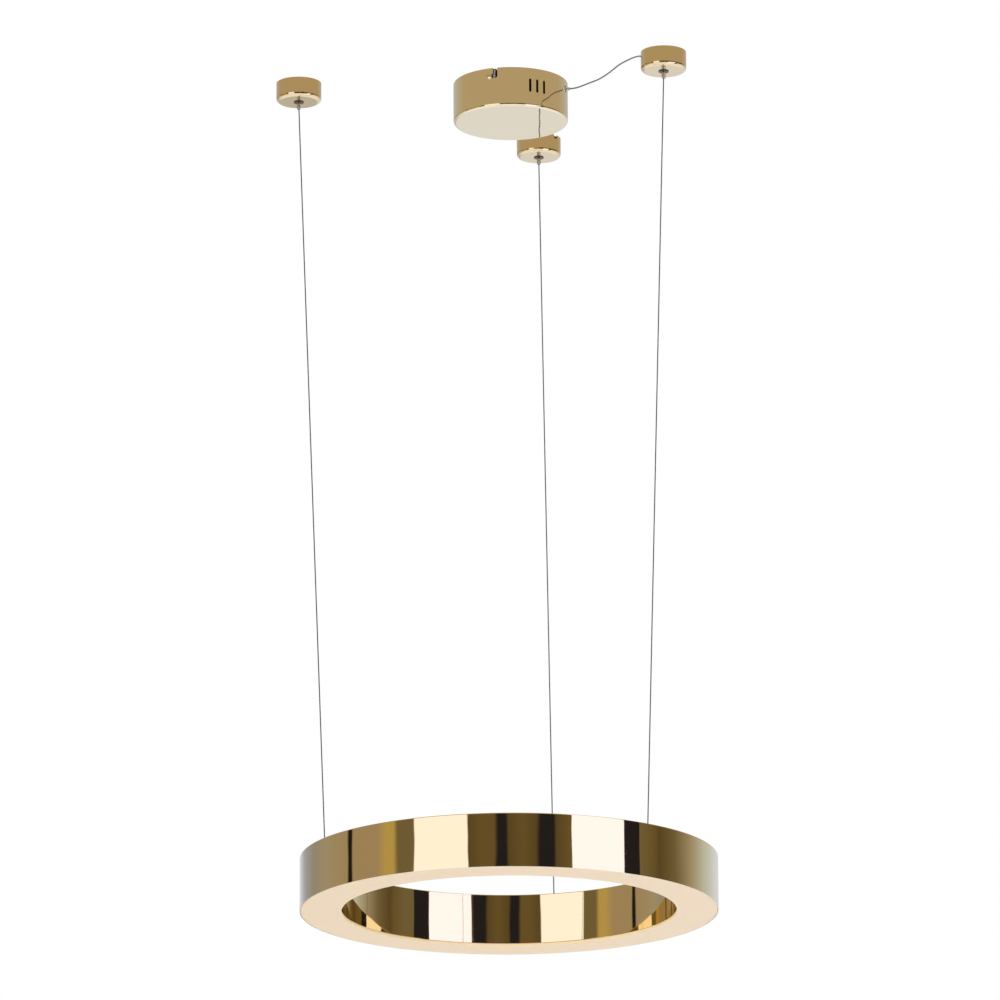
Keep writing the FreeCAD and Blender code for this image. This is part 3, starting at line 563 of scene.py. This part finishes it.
# ---- cables and cord ---------------------------------------------------------------
# The supply cord's route: out of the gland, across under the ceiling in a shallow
# sag, and in at the right canopy's rim notch to the splice.
CORD_ROUTE_MM = (
    (72.095, -20.673, -12.0),
    (79.304, -22.74, -12.0),
    (86.535, -32.491, -12.6),
    (97.513, -47.465, -13.0),
    (108.014, -61.459, -13.6),
    (120.551, -78.535, -10.6),
    (131.473, -96.958, -6.8),
    (142.002, -110.487, -5.6),
    (150.192, -118.342, -4.3),
    (159.5, -119.32, -3.0),
    (166.204, -120.024, -8.5),
    (171.574, -120.589, -8.5),
)


class RINGLIGHT_OT_cord(bpy.types.Operator):
    """Lay the supply cord from the driver canopy to the right small canopy"""

    bl_idname = "ring_light.cord"
    bl_label = "Supply cord"

    def execute(self, context):
        sizes = context.scene.ring_light_cables
        curve = bpy.data.curves.new("supply_cord_line", "CURVE")
        curve.dimensions = "3D"
        curve.bevel_depth = sizes.cord / 2
        curve.bevel_resolution = 5
        curve.resolution_u = 10
        curve.use_fill_caps = True
        spline = curve.splines.new("NURBS")
        spline.points.add(len(CORD_ROUTE_MM) - 1)
        for point, place in zip(spline.points, CORD_ROUTE_MM):
            point.co = (place[0] * MM, place[1] * MM, place[2] * MM, 1.0)
        spline.order_u = 3
        spline.use_endpoint_u = True
        cord = bpy.data.objects.new("supply_cord_line", curve)
        context.scene.collection.objects.link(cord)
        place_piece(cord, "ceiling", "cord_sheath", clear_sheath(), "supply_cord")
        return {"FINISHED"}


RINGS_PER_LAY = 10  # of mesh, in each turn of the strands


def strand_outline(diameter, strands=6, points=4):
    """Outline of a rope of round strands, as (angle, radius) pairs."""
    strand_r = diameter / 6
    pitch_r = diameter / 3
    outline = []
    for s in range(strands):
        for k in range(points):
            offset = math.pi / strands * (2 * k / points - 1)
            reach = pitch_r * math.cos(offset)
            reach += math.sqrt(max(strand_r**2 - (pitch_r * math.sin(offset)) ** 2, 0.0))
            outline.append((2 * math.pi * s / strands + offset, reach))
    return outline


class RINGLIGHT_OT_cables(bpy.types.Operator):
    """Twist the three suspension cables from their strands"""

    bl_idname = "ring_light.cables"
    bl_label = "Suspension cables"

    def execute(self, context):
        sizes = context.scene.ring_light_cables
        outline = strand_outline(sizes.cable)
        for side in SIDES:
            throat = Vector(joint(SWAY_JOINTS[side])["pos_m"])
            low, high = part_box(f"cable_{side}")
            along = self.direction(throat, low, high)
            end = throat + along * (low[2] - throat.z) / along.z
            run = (end - throat).length
            steps = int(run / (sizes.lay / RINGS_PER_LAY))
            right = along.cross(Vector((0, 1, 0))).normalized()
            front = right.cross(along).normalized()
            rings = []
            for i in range(steps + 1):
                centre = throat.lerp(end, i / steps)
                twist = 2 * math.pi * run * i / steps / sizes.lay
                rings.append([
                    centre + (right * math.cos(a + twist) + front * math.sin(a + twist)) * r
                    for a, r in outline
                ])
            # The valleys between the strands stay soft, and the cut ends are sharp.
            piece = mesh_object(f"wire_{side}", skin(rings), math.radians(75))
            place_piece(piece, f"{side}_cable", "cable_steel", wire_rope(), f"cable_{side}")
            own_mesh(piece)
        return {"FINISHED"}

    def direction(self, throat, low, high):
        """From the gripper's throat to the cable's lower end, taken from the cable's box."""
        radius = bpy.context.scene.ring_light_cables.cable / 2
        end = [0.0, 0.0, low[2]]
        for axis in (0, 1):
            leans_down = throat[axis] - low[axis] > 3 * radius
            end[axis] = low[axis] + radius if leans_down else high[axis] - radius
        return (Vector(end) - throat).normalized()


RINGS_PER_TURN = 24  # of mesh, in each turn of a spring
WIRE_FACETS = 8


class RINGLIGHT_OT_springs(bpy.types.Operator):
    """Coil the springs that the release nipples press together"""

    bl_idname = "ring_light.springs"
    bl_label = "Gripper springs"

    def execute(self, context):
        sizes = context.scene.ring_light_cables
        wire = sizes.spring_wire / 2
        steps = sizes.spring_turns * RINGS_PER_TURN
        around = [2 * math.pi * k / WIRE_FACETS for k in range(WIRE_FACETS)]
        # Bright patented wire: clean highlights along each turn.
        steel = plain_metal("bright spring wire", "B4B4B6", (0.16, 0.28), 1 * MM)
        for side in SIDES:
            node = f"gripper_spring_{side}"
            low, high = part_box(node)
            middle = node_centre(node)
            radius = node_width(node) / 2 - wire
            height = high[2] - low[2]
            rings = []
            for i in range(steps + 1):
                turn = 2 * math.pi * sizes.spring_turns * i / steps
                out = Vector((math.cos(turn), math.sin(turn), 0))
                rise = low[2] + wire + (height - 2 * wire) * i / steps
                centre = Vector((middle.x, middle.y, rise)) + out * radius
                rings.append([centre + (out * math.cos(a) + UP * math.sin(a)) * wire
                              for a in around])
            spring = mesh_object(f"spring_{side}", skin(rings), math.radians(60))
            slot = next(
                row["material_slot"] for row in frame["record"]["subparts"] if row["node"] == node
            )
            place_piece(spring, "ceiling", slot, steel, node)
            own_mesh(spring)
        return {"FINISHED"}


# ---- ring ---------------------------------------------------------------------------
class RINGLIGHT_OT_ring(bpy.types.Operator):
    """Form the ring's channel of polished sheet"""

    bl_idname = "ring_light.ring"
    bl_label = "Ring"

    def execute(self, context):
        sizes = context.scene.ring_light_ring
        low, high = RING_BOX
        outer = node_width("ring_housing") / 2
        inner = outer - sizes.width
        inner_foot = low[2] + sizes.lower_gap
        wall = sizes.wall
        fold = sizes.edge_radius
        corners = [
            (outer - wall, low[2], LIP),
            (outer, low[2], LIP),
            (outer, high[2], fold),
            (inner, high[2], fold),
            (inner, inner_foot, LIP),
            (inner + wall, inner_foot, LIP),
            (inner + wall, high[2] - wall, 0),
            (outer - wall, high[2] - wall, 0),
        ]
        ring = turned_piece("ring_channel", corners, sizes.facets, 5, RING_CENTRE)
        tools = []
        hole = sizes.collar_hole / 2
        for side in SIDES:
            collar = node_centre(f"cable_collar_{side}")
            bm = bmesh.new()
            bmesh.ops.create_cone(
                bm, cap_ends=True, segments=48, radius1=hole, radius2=hole, depth=8 * wall
            )
            bmesh.ops.translate(bm, verts=bm.verts, vec=(collar.x, collar.y, high[2]))
            tools.append(mesh_object("cutter", bm))
        cut(ring, tools)
        place_piece(ring, "ring", "gold_steel", gold_steel(), "ring_housing")
        return {"FINISHED"}


# ---- canopies -------------------------------------------------------------------------
# A bayonet slot is an upright entry and a level run from it to the screw.
BAYONET_HEADING = -18.5
BAYONET_ENTRY = -15.5
VENT_HEADINGS = (20.0, 27.6, 35.6)
GLAND_HEADING = 74.0
SCREW_HEADING = -21.5
NOTCH_HEADINGS = {"left": 140.0, "right": -96.0, "rear": 50.0}
COVER_FACETS = 256  # round the wall
CUP_FACETS = 192


def drawn_shell(name, node, centre, wall, edge, facets, hole=0.0):
    """A canopy of drawn sheet in its node's place, and the radii that cutters reach.

    It is open at the ceiling, and its bottom may have a round hole of radius hole.
    """
    low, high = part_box(node)
    outer = node_width(node) / 2
    inner = outer - wall
    rim = LIP if hole else 0
    corners = [
        (hole, low[2], rim),
        (outer, low[2], edge),
        (outer, high[2], LIP),
        (inner, high[2], LIP),
        (inner, low[2] + wall, edge - wall),
        (hole, low[2] + wall, rim),
    ]
    shell = turned_piece(name, corners, facets, 10, centre)
    return shell, inner - CUT_REACH, outer + CUT_REACH


class RINGLIGHT_OT_cover(bpy.types.Operator):
    """Draw the driver canopy's cover and cut its slots, vents and cord hole"""

    bl_idname = "ring_light.cover"
    bl_label = "Driver canopy"

    def execute(self, context):
        sizes = context.scene.ring_light_canopies
        node, middle = "canopy_cover", (0.0, 0.0)  # it stands on the frame's own axis
        wall, edge = sizes.cover_wall, sizes.cover_edge
        cover, near, far = drawn_shell(
            "driver_canopy_cover", node, middle, wall, edge, COVER_FACETS
        )
        depth = sizes.screw_depth
        width = sizes.bayonet_width
        travel = math.radians(BAYONET_ENTRY - SCREW_HEADING) * node_width(node) / 2
        entry = stadium(width, 2 * depth + width)
        lock = [(z, x) for x, z in stadium(width, travel + width)]
        vent = stadium(sizes.vent_width, sizes.vent_height)
        tools = []
        for back in (0, 180):
            tools.append(cutter(entry, BAYONET_ENTRY + back, near, far))
            tools.append(cutter(lock, BAYONET_HEADING + back, near, far, up=-depth))
            for heading in VENT_HEADINGS:
                tools.append(cutter(vent, heading + back, near, far, up=-sizes.vent_depth))
        # A slot that is hardly higher than it is wide makes the gland's round hole.
        hole = stadium(sizes.gland_hole, sizes.gland_hole + 0.001 * MM, 12)
        tools.append(cutter(hole, GLAND_HEADING, near, far, up=-sizes.gland_depth))
        cut(cover, tools)
        place_piece(cover, "ceiling", "gold_steel", gold_steel(), node)
        paint_inside_shade(cover, node, middle, wall, edge)
        return {"FINISHED"}


class RINGLIGHT_OT_cups(bpy.types.Operator):
    """Draw the three small canopies and cut their rim notches"""

    bl_idname = "ring_light.cups"
    bl_label = "Small canopies"

    def execute(self, context):
        sizes = context.scene.ring_light_canopies
        # The small canopies' gold is a little deeper in tone, as painted shade for the darker reflections that
        # they show.
        gold = gold_steel(
            "mirror-polished gold-coated steel, small canopies",
            context.scene.ring_light_finishes.cup_gold_deepened_as_shade,
        )
        wall, edge, hole = sizes.cup_wall, sizes.cup_edge, sizes.cup_hole / 2
        notch = stadium(sizes.notch_width, 2 * sizes.notch_depth)
        for side in SIDES:
            node = f"canopy_cup_{side}"
            middle = node_centre(node)
            cup, near, far = drawn_shell(
                f"small_canopy_{side}", node, middle, wall, edge, CUP_FACETS, hole
            )
            cut(cup, [cutter(notch, NOTCH_HEADINGS[side], near, far, middle)])
            place_piece(cup, "ceiling", "gold_steel", gold, node)
            paint_inside_shade(cup, node, middle, wall, edge)
        return {"FINISHED"}


HEAD_RADIUS = 3.6 * MM
HEAD_HEIGHT = 2.6 * MM
SHANK_RADIUS = 2.0 * MM
SHANK_LENGTH = 4.8 * MM
RECESS = (3.6 * MM, 0.75 * MM, 2.4 * MM)  # one bar of the cross: long, wide, high
RECESS_TURN = math.radians(20)
SCREW_GAP = 0.05 * MM  # between the cover and the screw's head


class RINGLIGHT_OT_screws(bpy.types.Operator):
    """Turn the cover's side screws and cut their cross recesses"""

    bl_idname = "ring_light.screws"
    bl_label = "Side screws"

    def execute(self, context):
        depth = context.scene.ring_light_canopies.screw_depth
        seat = node_width("canopy_cover") / 2 + SCREW_GAP
        corners = [
            (0, HEAD_HEIGHT, 0),
            (HEAD_RADIUS, HEAD_HEIGHT, HEAD_HEIGHT * 0.85),
            (HEAD_RADIUS, 0, LIP),
            (SHANK_RADIUS, 0, 0),
            (SHANK_RADIUS, -SHANK_LENGTH, 0.2 * MM),
            (0, -SHANK_LENGTH, 0),
        ]
        for name, heading, replaced in (
            ("front", SCREW_HEADING, ["side_screws"]),
            ("back", SCREW_HEADING + 180, []),
        ):
            screw = turned_piece(f"side_screw_{name}", corners, 48, steps=8)
            tools = []
            for turn in (RECESS_TURN, RECESS_TURN + math.pi / 2):
                bm = bmesh.new()
                bmesh.ops.create_cube(bm, size=1.0)
                size = Matrix.Diagonal((*RECESS, 1.0))
                lift = Matrix.Translation((0, 0, HEAD_HEIGHT))
                spin = Matrix.Rotation(turn, 4, "Z")
                bmesh.ops.transform(bm, matrix=lift @ spin @ size, verts=bm.verts)
                tools.append(mesh_object("recess", bm))
            cut(screw, tools)
            out = facing(heading)
            lean = UP.rotation_difference(out).to_matrix().to_4x4()
            screw.data.transform(Matrix.Translation(out * seat - UP * depth) @ lean)
            place_piece(screw, "ceiling", "gold_screw", gold_steel(), *replaced)
        return {"FINISHED"}


class RINGLIGHT_OT_finishes(bpy.types.Operator):
    """Give every remaining piece the finish of its slot"""

    bl_idname = "ring_light.finishes"
    bl_label = "Finishes"

    def execute(self, context):
        finishes = node_finishes()
        for row in frame["record"]["subparts"]:
            piece = frame["nodes"][row["node"]]
            material = finishes[row["material_slot"]]
            for slot in piece.material_slots:
                slot.link = "OBJECT"
                slot.material = material
        return {"FINISHED"}


# ---- studio ---------------------------------------------------------------------------
# What stands round the lamp, by heading in degrees from -Y towards +X. Each shade is
# what the gold shows of it, and a ramp blends between neighbouring stops.
SHADES = {
    "pale end": "D7C08C",
    "pale wall": "CDBF97",
    "light wall": "C9C09B",
    "mid wall": "B6AE8B",
    "grey wall": "9B957F",
    "dim wall": "8F8264",
    "tan wall": "9C8860",
    "warm tan wall": "9C8054",
    "amber wall": "B08E42",
    "olive wall": "6E5A32",
    "brown wall": "644D24",
    "dark brown wall": "564220",
    "black card": "221C18",
    "gap": "1E1810",
    "soft box": "FFEEE2",
    "far soft box": "FFE7C7",
    "ceiling": "AF9566",
    "pale ceiling": "B4A580",
    "end of ceiling": "B8A576",
    "floor": "DBD0AE",
    "shaded floor": "BBB08A",
    "near floor": "F4E6C8",
}
SOFT_BOX_GAIN = 1.1  # brighter than white, as its second reflection in the ring shows
LEFT_STUDIO = (
    (-180, "pale end"),
    (-167, "pale wall"),
    (-152, "grey wall"),
    (-136, "dim wall"),
    (-120, "tan wall"),
    (-99.5, "warm tan wall"),
    (-99, "gap"),
    (-96, "gap"),
    (-95.5, "warm tan wall"),
    (-77, "warm tan wall"),
    (-71, "amber wall"),
    (-66, "amber wall"),
    (-63.5, "olive wall"),
    (-53.4, "olive wall"),
    (-53.1, "far soft box"),
    (-22.5, "far soft box"),
    (-22.2, "dark brown wall"),
    (-15, "brown wall"),
    (-8.2, "brown wall"),
    (-6.6, "black card"),
    (-1.2, "black card"),
    (0, "dark brown wall"),
)
RIGHT_STUDIO = (
    (0, "dark brown wall"),
    (8, "brown wall"),
    (15, "dark brown wall"),
    (16.6, "black card"),
    (24.6, "black card"),
    (26, "dark brown wall"),
    (33, "brown wall"),
    (78, "olive wall"),
    (88, "brown wall"),
    (91, "dark brown wall"),
    (104, "olive wall"),
    (120, "tan wall"),
    (135, "mid wall"),
    (152, "light wall"),
    (180, "pale end"),
)
LEFT_CEILING = (
    (-180, "end of ceiling"), (-150, "pale ceiling"), (-110, "ceiling"), (0, "ceiling")
)
RIGHT_CEILING = (
    (0, "ceiling"), (110, "ceiling"), (150, "pale ceiling"), (180, "end of ceiling")
)
# The heights in a direction of length 1 at which the walls end, and half the width of
# their soft edges. In front the walls are close and reach lower: their foot changes
# where the direction's Y is between -FRONT_TURN and FRONT_TURN.
STUDIO_TOP = math.sin(math.radians(15.2))
TOP_EDGE = 0.006
STUDIO_FOOT = math.sin(math.radians(-5.0))
FRONT_FOOT = math.sin(math.radians(-26.0))
FOOT_EDGE = 0.05
FRONT_TURN = 0.3
FLOOR_RADIUS = 14.0
FLOOR_FRONT = -6.4  # y where the floor ends towards the camera
# Edges on the floor, each as its middle and half its width, in m: where the shade on
# the left ends, where the near floor ends, and where the floor fades into white.
LEFT_SHADE = (-0.38, 0.12)
NEAR_FLOOR = (7.0, 2.0)
FLOOR_FADE = (7.0, 2.5)
# A soft box and a black card stand close by on the right. The ring's outer and inner
# walls see them in different headings, as they do in a real room. In m, from the
# ring's middle.
CARDS = (
    ("soft_box", "soft box", (0.398, -0.700), (1.428, -0.785)),
    ("black_card", "black card", (1.436, -0.786), (2.304, -0.712)),
)
CARD_TOP = -0.15
CARD_FOOT = -1.9
STRIP_HEIGHTS = (0.05 * MM, 0.35 * MM)  # the ceiling's strips, over z = 0
ENTRY_RADIUS = 11 * MM  # of the strip over the mains entry
CLEAR_WHITE = (1.0, 1.0, 1.0, 1.0)
LAMP_AIM = Vector((0, 0, -0.6))
# Each lamp's place and diameter in m, and its share of the key lamp's power.
LAMPS = (
    ("key_lamp", (-2.6, -3.2, 0.4), 2.2, 1.0),
    ("fill_lamp", (3.0, -2.2, -1.4), 2.6, 0.45),
    ("back_lamp", (0.6, 3.4, -0.6), 2.0, 0.4),
)


class RINGLIGHT_OT_studio(bpy.types.Operator):
    """Set up the camera, the pale floor, the studio's surroundings and the lamps"""

    bl_idname = "ring_light.studio"
    bl_label = "Studio"

    def execute(self, context):
        settings = context.scene.ring_light_studio
        context.scene.view_settings.view_transform = "Standard"
        self.camera(context, settings)
        self.floor(settings)
        self.world(context, settings)
        self.cards()
        self.ceiling()
        self.lamps(context, settings)
        return {"FINISHED"}

    def camera(self, context, settings):
        data = bpy.data.cameras.new("camera")
        data.sensor_width = 36.0
        data.lens = settings.lens
        data.clip_start = 0.1
        data.clip_end = 200.0
        camera = bpy.data.objects.new("camera", data)
        context.scene.collection.objects.link(camera)
        sin_pitch, cos_pitch = math.sin(settings.camera_pitch), math.cos(settings.camera_pitch)
        sin_yaw, cos_yaw = math.sin(settings.camera_yaw), math.cos(settings.camera_yaw)
        forward = Vector((sin_yaw * cos_pitch, cos_yaw * cos_pitch, sin_pitch))
        right = Vector((cos_yaw, -sin_yaw, 0))
        up = Vector((-sin_yaw * sin_pitch, -cos_yaw * sin_pitch, cos_pitch))
        sin_roll, cos_roll = math.sin(settings.camera_roll), math.cos(settings.camera_roll)
        rolled_right = right * cos_roll + up * sin_roll
        rolled_up = up * cos_roll - right * sin_roll
        turn = Matrix((rolled_right, rolled_up, -forward)).transposed().to_4x4()
        camera.matrix_world = Matrix.Translation(settings.camera_place) @ turn
        context.scene.camera = camera

    def floor(self, settings):
        bm = bmesh.new()
        bmesh.ops.create_circle(bm, cap_ends=True, segments=96, radius=FLOOR_RADIUS)
        floor = mesh_object("floor", bm)
        spot = (0, FLOOR_FRONT + FLOOR_RADIUS, -settings.floor_depth)
        floor.data.transform(Matrix.Translation(spot))
        if floor.data.polygons[0].normal.z < 0:
            floor.data.flip_normals()
        # Rolled floor paint: matt, with a faint orange peel.
        material = finish(
            "matt white floor paint",
            {"Base Color": linear("F4F4F2"), "Roughness": 0.8},
            {"size": 3 * MM, "detail": 2.0, "depth": 0.05 * MM},
        )
        tree = material.node_tree
        paint = find_node(tree, "ShaderNodeBsdfPrincipled").outputs[0]
        place = find_node(tree, "ShaderNodeTexCoord").outputs["Object"]
        rays = add_node(tree, "ShaderNodeLightPath").outputs
        across = add_node(tree, "ShaderNodeSeparateXYZ", inputs={0: place}).outputs["X"]
        away = add_node(tree, "ShaderNodeVectorMath", {"operation": "LENGTH"}, {0: place})
        reach = away.outputs["Value"]
        far_floor = self.change(
            tree, across, *LEFT_SHADE, self.shade("shaded floor"), self.shade("floor")
        )
        shown = self.change(tree, reach, *NEAR_FLOOR, self.shade("near floor"), far_floor)
        gleam = add_node(tree, "ShaderNodeEmission", inputs={"Color": shown}).outputs[0]
        both = add_node(
            tree, "ShaderNodeMixShader", inputs={0: rays["Is Glossy Ray"], 1: paint, 2: gleam}
        )
        # The floor fades into the white background, and from below it is clear, so that
        # the lamp can be seen from there too.
        middle, half = FLOOR_FADE
        fade = add_node(
            tree,
            "ShaderNodeMapRange",
            inputs={"Value": reach, "From Min": middle - half, "From Max": middle + half},
        ).outputs["Result"]
        seen = rays["Is Camera Ray"]
        faded = add_node(tree, "ShaderNodeMath", {"operation": "MULTIPLY"}, {0: fade, 1: seen})
        under = add_node(tree, "ShaderNodeNewGeometry").outputs["Backfacing"]
        hidden = add_node(
            tree, "ShaderNodeMath", {"operation": "MAXIMUM"}, {0: faded.outputs[0], 1: under}
        ).outputs[0]
        clear = add_node(tree, "ShaderNodeBsdfTransparent").outputs[0]
        sides = add_node(
            tree, "ShaderNodeMixShader", inputs={0: hidden, 1: both.outputs[0], 2: clear}
        )
        output = find_node(tree, "ShaderNodeOutputMaterial")
        tree.links.new(sides.outputs[0], output.inputs["Surface"])
        floor.data.materials.append(material)

    def shade(self, name):
        """The light that the gold shows as this shade: the shade over the gold's own colour."""
        gold = linear(bpy.context.scene.ring_light_finishes.gold)
        seen = linear(SHADES[name])
        gain = SOFT_BOX_GAIN if name.endswith("soft box") else 1.0
        return tuple(seen[i] / gold[i] * gain for i in range(3)) + (1.0,)

    def cards(self):
        """Upright cards that only the polished faces see."""
        for name, shade, start, end in CARDS:
            bm = bmesh.new()
            bm.faces.new([
                bm.verts.new((RING_CENTRE.x + x, RING_CENTRE.y + y, z))
                for (x, y), z in (
                    (start, CARD_FOOT), (end, CARD_FOOT), (end, CARD_TOP), (start, CARD_TOP)
                )
            ])
            card = mesh_object(name, bm)
            material = bpy.data.materials.new(name.replace("_", " "))
            material.use_nodes = True
            tree = material.node_tree
            tree.nodes.clear()
            light = add_node(tree, "ShaderNodeEmission", inputs={"Color": self.shade(shade)})
            add_node(tree, "ShaderNodeOutputMaterial", inputs={"Surface": light.outputs[0]})
            card.data.materials.append(material)
            for ray in ("camera", "diffuse", "transmission", "volume_scatter", "shadow"):
                setattr(card, f"visible_{ray}", False)

    def ceiling(self):
        """Ceiling over the canopies' open rims and the mains entry, to keep them dark.

        Each strip runs from the edge of the plate on the ceiling to the canopy's wall.
        """
        spans = [("mains_entry", "ceiling_bracket", 0.0, ENTRY_RADIUS)]
        plates = [("canopy_cover", "ceiling_bracket")]
        plates += [(f"canopy_cup_{side}", f"anchor_plate_{side}") for side in SIDES]
        for canopy, plate in plates:
            inner = node_width(plate) / 2 - 0.5 * MM
            outer = node_width(canopy) / 2 - 0.4 * MM
            spans.append((canopy, canopy, inner, outer))
        # White emulsion: matt and even, with a fine stipple.
        paint = moulded_plastic("white ceiling paint", "EFEFEA", 0.8, 1.5, 2 * MM)
        under, over = STRIP_HEIGHTS
        for name, node, inner, outer in spans:
            bm = bmesh.new()
            profile = ((inner, under), (outer, under), (outer, over), (inner, over))
            turn_profile(bm, profile, 96, node_centre(node))
            strip = mesh_object(f"ceiling_over_{name}", bm)
            strip.data.materials.append(paint)
            strip.visible_camera = False

    def around(self, tree, heading, left, right):
        """The shades round the lamp, from the stops on its left and on its right."""
        sides = []
        for start, stops in ((-180, left), (0, right)):
            reach = {
                "Value": heading,
                "From Min": math.radians(start),
                "From Max": math.radians(start + 180),
            }
            place = add_node(tree, "ShaderNodeMapRange", inputs=reach).outputs["Result"]
            ramp = add_node(tree, "ShaderNodeValToRGB", inputs={"Fac": place})
            elements = ramp.color_ramp.elements
            elements.remove(elements[-1])
            for i, (stop_heading, shade) in enumerate(stops):
                position = (stop_heading - start) / 180
                stop = elements.new(position) if i else elements[0]
                stop.position = position
                stop.color = self.shade(shade)
            sides.append(ramp.outputs["Color"])
        on_right = add_node(
            tree, "ShaderNodeMath", {"operation": "GREATER_THAN"}, {0: heading, 1: 0.0}
        ).outputs[0]
        mix = {FACTOR: on_right, FIRST: sides[0], SECOND: sides[1]}
        return add_node(tree, "ShaderNodeMix", MIX_COLOURS, mix).outputs[MIXED]

    def change(self, tree, value, middle, half, first, second):
        """The first colour below the value's middle and the second above it, softly."""
        edge = {"Value": value, "From Min": middle - half, "From Max": middle + half}
        share = add_node(tree, "ShaderNodeMapRange", inputs=edge).outputs["Result"]
        mix = {FACTOR: share, FIRST: first, SECOND: second}
        return add_node(tree, "ShaderNodeMix", MIX_COLOURS, mix).outputs[MIXED]

    def world(self, context, settings):
        """What glossy rays see of the studio; other rays see even light or plain white."""
        world = bpy.data.worlds.new("photo studio")
        world.use_nodes = True
        tree = world.node_tree
        tree.nodes.clear()
        direction = add_node(tree, "ShaderNodeTexCoord").outputs["Generated"]
        axes = add_node(tree, "ShaderNodeSeparateXYZ", inputs={0: direction}).outputs
        ahead = add_node(
            tree, "ShaderNodeMath", {"operation": "MULTIPLY"}, {0: axes["Y"], 1: -1.0}
        ).outputs[0]
        heading = add_node(
            tree, "ShaderNodeMath", {"operation": "ARCTAN2"}, {0: axes["X"], 1: ahead}
        ).outputs[0]
        walls = self.around(tree, heading, LEFT_STUDIO, RIGHT_STUDIO)
        overhead = self.around(tree, heading, LEFT_CEILING, RIGHT_CEILING)
        height = axes["Z"]
        upper = self.change(tree, height, STUDIO_TOP, TOP_EDGE, walls, overhead)
        turn = {
            "Value": axes["Y"],
            "From Min": -FRONT_TURN,
            "From Max": FRONT_TURN,
            "To Min": FRONT_FOOT,
            "To Max": STUDIO_FOOT,
        }
        foot = add_node(tree, "ShaderNodeMapRange", inputs=turn).outputs["Result"]
        over_foot = add_node(
            tree, "ShaderNodeMath", {"operation": "SUBTRACT"}, {0: height, 1: foot}
        ).outputs[0]
        floor = self.shade("floor")
        surroundings = self.change(tree, over_foot, 0.0, FOOT_EDGE, floor, upper)
        rays = add_node(tree, "ShaderNodeLightPath").outputs
        even = (settings.ambient, settings.ambient, settings.ambient, 1.0)
        mix = {FACTOR: rays["Is Glossy Ray"], FIRST: even, SECOND: surroundings}
        lit = add_node(tree, "ShaderNodeMix", MIX_COLOURS, mix).outputs[MIXED]
        clear = {0: rays["Is Camera Ray"], 1: rays["Is Transmission Ray"]}
        white = add_node(tree, "ShaderNodeMath", {"operation": "MAXIMUM"}, clear).outputs[0]
        mix = {FACTOR: white, FIRST: lit, SECOND: CLEAR_WHITE}
        seen = add_node(tree, "ShaderNodeMix", MIX_COLOURS, mix).outputs[MIXED]
        background = add_node(tree, "ShaderNodeBackground", inputs={"Color": seen})
        add_node(tree, "ShaderNodeOutputWorld", inputs={"Surface": background.outputs[0]})
        context.scene.world = world

    def lamps(self, context, settings):
        for name, place, size, share in LAMPS:
            data = bpy.data.lights.new(name, "AREA")
            data.shape = "DISK"
            data.size = size
            data.energy = settings.key * share
            lamp = bpy.data.objects.new(name, data)
            context.scene.collection.objects.link(lamp)
            lamp.location = place
            aim = LAMP_AIM - Vector(place)
            lamp.rotation_euler = aim.to_track_quat("-Z", "Y").to_euler()
            lamp.visible_glossy = False
            lamp.visible_camera = False


# ---- the add-on --------------------------------------------------------------------------
STEPS = (
    RINGLIGHT_OT_studio,
    RINGLIGHT_OT_cord,
    RINGLIGHT_OT_cables,
    RINGLIGHT_OT_springs,
    RINGLIGHT_OT_ring,
    RINGLIGHT_OT_cover,
    RINGLIGHT_OT_cups,
    RINGLIGHT_OT_screws,
    RINGLIGHT_OT_finishes,
)
GROUPS = {
    "ring_light_ring": RingSizes,
    "ring_light_canopies": CanopySizes,
    "ring_light_cables": CableSizes,
    "ring_light_finishes": Finishes,
    "ring_light_studio": StudioSettings,
}


class RINGLIGHT_PT_panel(bpy.types.Panel):
    """The ring light's sizes, finishes and steps"""

    bl_idname = "RINGLIGHT_PT_panel"
    bl_label = "Ring light"
    bl_space_type = "VIEW_3D"
    bl_region_type = "UI"
    bl_category = "Ring light"

    def draw(self, context):
        layout = self.layout
        for step in STEPS:
            layout.operator(step.bl_idname)
        for name, group in GROUPS.items():
            box = layout.box()
            settings = getattr(context.scene, name)
            for key in group.__annotations__:
                box.prop(settings, key)


def register():
    for name, group in GROUPS.items():
        bpy.utils.register_class(group)
        setattr(bpy.types.Scene, name, PointerProperty(type=group))
    for step in STEPS:
        bpy.utils.register_class(step)
    bpy.utils.register_class(RINGLIGHT_PT_panel)


def unregister():
    bpy.utils.unregister_class(RINGLIGHT_PT_panel)
    for step in reversed(STEPS):
        bpy.utils.unregister_class(step)
    for name, group in reversed(GROUPS.items()):
        delattr(bpy.types.Scene, name)
        bpy.utils.unregister_class(group)


def main():
    register()
    bpy.ops.ring_light.studio()
    bpy.ops.ring_light.cord()
    bpy.ops.ring_light.cables()
    bpy.ops.ring_light.springs()
    bpy.ops.ring_light.ring()
    bpy.ops.ring_light.cover()
    bpy.ops.ring_light.cups()
    bpy.ops.ring_light.screws()
    bpy.ops.ring_light.finishes()


if __name__ == "__main__":
    main()
